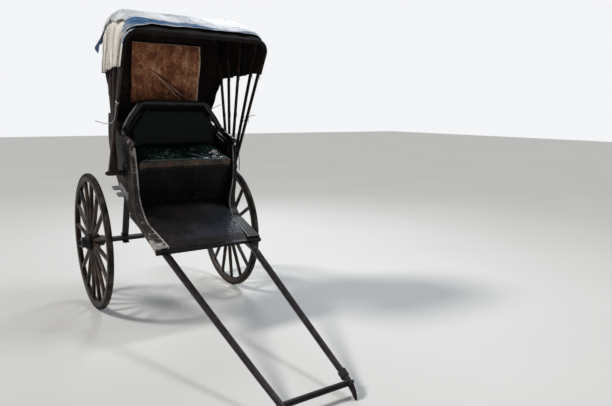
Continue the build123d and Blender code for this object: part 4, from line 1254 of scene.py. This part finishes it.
def laid_strip(name, rows, thick, finish, round_off):
    """A strip laid along two lines, from a plain grid: rows are pairs of level points."""
    bpy.ops.object.select_all(action="DESELECT")
    bpy.ops.mesh.primitive_grid_add(x_subdivisions=len(rows) - 1, y_subdivisions=1, size=1.0)
    piece = bpy.context.object
    piece.name = piece.data.name = name
    order = sorted(piece.data.vertices, key=lambda v: (round(v.co.x, 5), v.co.y))
    for number, vertex in enumerate(order):
        vertex.co = LEVEL @ Vector(rows[number // 2][number % 2])
    change(piece, "SOLIDIFY", thickness=thick, offset=0.0)
    change(piece, "BEVEL", width=round_off, segments=2, limit_method="ANGLE")
    edit(piece, lambda n: True)
    turn_out()
    leave_edit()
    use(piece, finish)
    smooth_by_angle(piece, 40)
    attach(piece, "body")


def rail_trim():
    for (side, sign), finish in zip(SIDES, ("pale_edging", "peeling_edging")):
        rows = [row for row, normal in along_rail(sign, 0.0012, 0.0085, 0.0008)]
        laid_strip(f"rail_edging_{side}", rows, 0.0016, finish, 0.0006)
        head = domed_head(0.0042, 0.0022)
        lines = along_rail(sign, 0.022, 0.001, 0.0)[1::2] + along_rail(sign, 0.078, 0.001, 0.0, 8)[1::3]
        scatter(head, f"rail_nails_{side}", [frame_at(row[0], normal) for row, normal in lines], "nail_iron")
        drop(head)


def bent(name, points, radius, order, steps, round_steps):
    """A round cord or wire along a smooth line."""
    line = bpy.data.curves.new(name, "CURVE")
    line.dimensions = "3D"
    spline = line.splines.new("NURBS")
    spline.points.add(len(points) - 1)
    for slot_point, point in zip(spline.points, points):
        slot_point.co = (*point, 1.0)
    spline.order_u = order
    spline.use_endpoint_u = True
    spline.resolution_u = steps
    line.bevel_depth = radius
    line.bevel_resolution = round_steps
    line.use_fill_caps = True
    return stand(name, line)


def tube(name, points, radius, finish, body, order=4):
    """A bent wire or tight winding through level points, as a mesh."""
    choose(bent(name, [LEVEL @ Vector(point) for point in points], radius, order, 5, 2))
    bpy.ops.object.convert(target="MESH")
    piece = bpy.context.object
    use(piece, finish)
    smooth(piece)
    if body:
        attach(piece, body)
    return piece


def winding(centre, along, side, half_side, half_face, turns, pitch, seed, loose=0.0012):
    """Points of a cord wound round a flat lath: along is the lath's run, side its wide way."""
    along, side = Vector(along).normalized(), Vector(side).normalized()
    face = along.cross(side)
    points = []
    steps = 12
    for i in range(turns * steps + 1):
        a = 2 * pi * i / steps
        c, s = cos(a), sin(a)
        reach = (abs(c) ** 4 + abs(s) ** 4) ** -0.25
        wander = loose * ripple((i * 0.31, seed), seed)
        lead = pitch * i / steps + wander * 1.5
        offset = side * (c * reach * (half_side + wander)) + face * (s * reach * (half_face + wander))
        points.append(Vector(centre) + offset + along * (lead - pitch * turns / 2))
    return points


def bow_winding(i, distance, sign, *measures):
    """A winding round a bow's leg at a distance from the pivot, its centre and the way across the leg."""
    way = bow_way(i)[0]
    across = Vector((0, 1, 0)).cross(way)
    centre = Vector((PIVOT[0], sign * (BOW_LEG_Y + BOW_PITCH * i), PIVOT[1])) + way * distance
    return winding(centre, way, across, *measures), centre, across


def bow_ties():
    """Black cord wound on the bows: at the foot of the cloth and lower down on each leg."""
    for i in range(5):
        made = []
        for sign in (1, -1):
            for k, distance in enumerate((bow_foot(i) - 0.014, 0.415 + 0.008 * i)):
                measures = 0.0158, 0.0083, 3 + (i + k) % 2, 0.0031, 3.0 + i + 7 * k + sign
                points, centre, across = bow_winding(i, distance, sign, *measures)
                end = points[-1] + across * 0.002 + Vector((0, sign * 0.004, -0.012))
                points += [end, end + Vector((0.004, sign * 0.003, -0.020))]
                made.append(tube(f"tie_{i}_{sign}_{k}", points, 0.0015, "black_cord", None, 3))
        piece = join_all(made, f"bow_ties_{i + 1}")
        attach(piece, f"hood_bow_{i + 1}")


def wires():
    """A pale bent wire off the front bow's right leg, and stray black wire ends on the left."""
    points = bow_winding(4, 0.560, -1, 0.0168, 0.0092, 2, 0.0048, 44.0, 0.0004)[0]
    points += [
        (0.222, -0.502, 1.118), (0.250, -0.508, 1.080), (0.262, -0.514, 1.045), (0.240, -0.520, 1.012),
        (0.180, -0.525, 0.985), (0.105, -0.530, 0.955), (0.020, -0.535, 0.937), (-0.050, -0.538, 0.920),
        (-0.108, -0.540, 0.903),
    ]
    tube("wire_hook", points, 0.0026, "pale_wire", "hood_bow_5")
    points, centre, across = bow_winding(3, 0.400, 1, 0.0166, 0.0090, 2, 0.0044, 61.0, 0.0004)
    points += [centre + Vector((0, 0.021, 0)), centre + Vector((0.008, 0.027, 0.003))]
    points += [(0.165, 0.501, 1.010), (0.196, 0.500, 1.045), (0.226, 0.502, 1.062), (0.262, 0.508, 1.072)]
    tube("left_bow_wire", points, 0.0020, "black_cord", "hood_bow_4")
    points = (
        (-0.075, 0.2900, 1.000), (-0.120, 0.3050, 1.004), (-0.150, 0.345, 0.985), (-0.165, 0.372, 0.990),
        (-0.150, 0.396, 1.010), (-0.128, 0.412, 1.030),
    )
    tube("shoulder_wire", points, 0.0020, "black_cord", "body")


def arm_lashing():
    """Old cord crossed over the right side panel and rail below the arm."""
    panel_y = 0.377
    made = []
    for number, line in enumerate((
        ((0.060, 0.792), (0.110, 0.752), (0.170, 0.700), (0.225, 0.655), (0.262, 0.640)),
        ((0.250, 0.770), (0.190, 0.728), (0.130, 0.690), (0.080, 0.645), (0.060, 0.615)),
        ((0.030, 0.742), (0.110, 0.750), (0.190, 0.757), (0.262, 0.762)),
        ((0.036, 0.622), (0.100, 0.628), (0.180, 0.640), (0.285, 0.660)),
        ((0.040, 0.630), (0.110, 0.640), (0.190, 0.650), (0.287, 0.668)),
    )):
        lift = 0.0022 + 0.0012 * (number % 2)
        points = [leaned(x, panel_y + lift, z) for x, z in line]
        points = [(x, -y, z) for x, y, z in points]
        made.append(tube(f"lash_{number}", points, 0.0019, "black_cord", None, 3))
    piece = join_all(made, "arm_lashing")
    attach(piece, "body")


def shaft_binding():
    """Cord wound on the left shaft just above the bar, thick with old tar."""
    centre, along = (2.075, 0.2165, 0.2300), (1.0, -0.075, -0.09)
    points = winding(centre, along, (0, 1, 0), 0.0205, 0.0205, 9, 0.0052, 81.0, 0.0016)
    tube("shaft_binding", points, 0.0031, "black_cord", "body", 3)


def pivot_nuts():
    """Nuts on the hood's pivot pins."""
    nut = hex_nut(0.019, 0.008)
    for side, sign in SIDES:
        where = frame_at((PIVOT[0], sign * PIN_END, PIVOT[1]), (0, sign, 0), (1, 0, 0.2))
        scatter(nut, f"pivot_nut_{side}", [where], "nail_iron")
    drop(nut)


def axle_washers():
    """Pale worn washers at the axle's ends."""
    washer = cylinder(40, 0.030, 0.003, 0)
    edit(washer, lambda n: abs(n.z) > 0.9)
    bpy.ops.mesh.inset(thickness=0.0150, depth=0)
    bpy.ops.mesh.delete(type="FACE")
    shell = bmesh.from_edit_mesh(washer.data)
    for rim in shell.edges:
        rim.select_set(rim.is_boundary)
    bmesh.update_edit_mesh(washer.data)
    bpy.ops.mesh.select_mode(type="EDGE")
    bpy.ops.mesh.bridge_edge_loops()
    turn_out()
    leave_edit()
    settle(washer)
    for side, sign in SIDES:
        where = frame_at((0, sign * AXLE_END, 0), (0, sign, 0), (1, 0, 0))
        scatter(washer, f"axle_washer_{side}", [where], "pale_iron")
    drop(washer)


def seat_front_trim():
    """Thin boards nailed over the seat box's front, and the lip below the cushion."""
    x, half, batten_out, nail_out = 0.2762, 0.352, 0.003, 0.006
    for number, heights in enumerate(((0.655, 0.6745), (0.428, 0.440))):
        rows = [[(x + batten_out, -half + 2 * half * i / 12, z) for z in heights] for i in range(13)]
        laid_strip(f"seat_front_batten_{number + 1}", rows, 0.006, "painted_board", 0.0012)
    rows = [[(x + 0.0024, y, z) for y in (0.052, 0.088)] for z in (0.4405, 0.50, 0.56, 0.61, 0.6545)]
    laid_strip("seat_front_joint", rows, 0.0048, "painted_board", 0.001)
    head = domed_head(0.0032, 0.0016)
    places = [
        frame_at((x + nail_out, -0.33 + 0.0825 * number + shift, z), (1, 0, 0))
        for number in range(9) for shift, z in ((0, 0.665), (0.01, 0.434))
    ]
    scatter(head, "seat_front_nails", places, "nail_iron")
    drop(head)


def back_piping():
    """Thin red-brown piping down the left end of the back cushion."""
    heights = [0.752 + 0.022 * i for i in range(9)]
    points = [
        (0.0495 - (z - 0.745) * 0.3172, 0.272 + 0.002 * sin(i * 1.9), z) for i, z in enumerate(heights)
    ]
    tube("back_piping", points, 0.0026, "red_piping", "body")


# The cord's route, the same points as its solid's
CORD_R = 0.003
CORD_ROUTE = (
    (-0.35415, 0.39657, 1.20412), (-0.35434, 0.41456, 1.20352), (-0.35434, 0.41956, 1.17352),
    (-0.35034, 0.42256, 1.12752), (-0.35334, 0.42456, 1.08152), (-0.35034, 0.42256, 1.03752),
)


def tie_cord():
    """The loose cord out of the left rail, hanging with a bare end."""
    piece = bent("tie_cord_line", CORD_ROUTE, CORD_R, 3, 12, 3)
    piece.data.materials.append(finishes["black_cord"])
    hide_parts("tie_cord")
    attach(piece, "body")


for make in (
    tie_cord, hood_cover, hood_sheet, blue_rag, hood_hem, rear_curtain, rear_panel, seat_cushion, back_cushion,
    side_pads, arm_roll, rail_trim, bow_ties, wires, arm_lashing, shaft_binding, pivot_nuts, axle_washers,
    seat_front_trim, back_piping,
):
    make()


# Floor, backdrop and lights
def backdrop(tree, colour, strength):
    shade = tree.nodes.new("ShaderNodeBackground")
    shade.inputs[0].default_value = (*colour, 1.0)
    shade.inputs[1].default_value = strength
    return shade


def make_studio():
    bpy.context.scene.view_settings.view_transform = "Standard"
    bpy.ops.mesh.primitive_plane_add(size=60.0, location=(0, 0, 0))
    floor = bpy.context.object
    floor.name = "floor"
    f = Finish("floor_paint")
    f.colour = f.mix((0.60, 0.59, 0.57), (0.66, 0.65, 0.63), f.noise(f.place(), 0.7, 3.0, 0.5))
    f.done(rough=0.9)
    floor.data.materials.append(f.material)
    world = bpy.data.worlds.new("studio")
    bpy.context.scene.world = world
    world.use_nodes = True
    tree = world.node_tree
    tree.nodes.clear()
    # The camera sees a bright backdrop; other rays meet a dim one, so that black coats stay black
    dim = backdrop(tree, (0.86, 0.92, 1.0), 0.30)
    seen = backdrop(tree, (0.90, 0.91, 0.93), 1.0)
    light = tree.nodes.new("ShaderNodeLightPath")
    either = tree.nodes.new("ShaderNodeMixShader")
    end = tree.nodes.new("ShaderNodeOutputWorld")
    tree.links.new(light.outputs["Is Camera Ray"], either.inputs[0])
    tree.links.new(dim.outputs[0], either.inputs[1])
    tree.links.new(seen.outputs[0], either.inputs[2])
    tree.links.new(either.outputs[0], end.inputs[0])
    # Each lamp: kind, place, size or angle, power, colour
    for name, kind, at, size, power, colour in (
        ("key", "SUN", (-1.7, -3.4, 4.6), radians(12.0), 2.4, (1.0, 0.97, 0.93)),
        ("side", "AREA", (0.5, 2.1, 4.4), 0.8, 70.0, (0.90, 0.95, 1.0)),
        ("rear", "AREA", (-3.6, 2.2, 3.6), 1.4, 70.0, (0.88, 0.94, 1.0)),
        ("front", "AREA", (4.6, 0.6, 3.6), 3.0, 12.0, (0.95, 0.97, 1.0)),
    ):
        lamp = bpy.data.lights.new(name, kind)
        if kind == "SUN":
            lamp.angle = size
        else:
            lamp.shape = "DISK"
            lamp.size = size
        lamp.energy = power
        lamp.color = colour
        holder = stand(name, lamp)
        holder.location = at
        holder.rotation_mode = "QUATERNION"
        holder.rotation_quaternion = (Vector((-0.3, 0, 0.8)) - Vector(at)).to_track_quat("-Z", "Y")


make_studio()
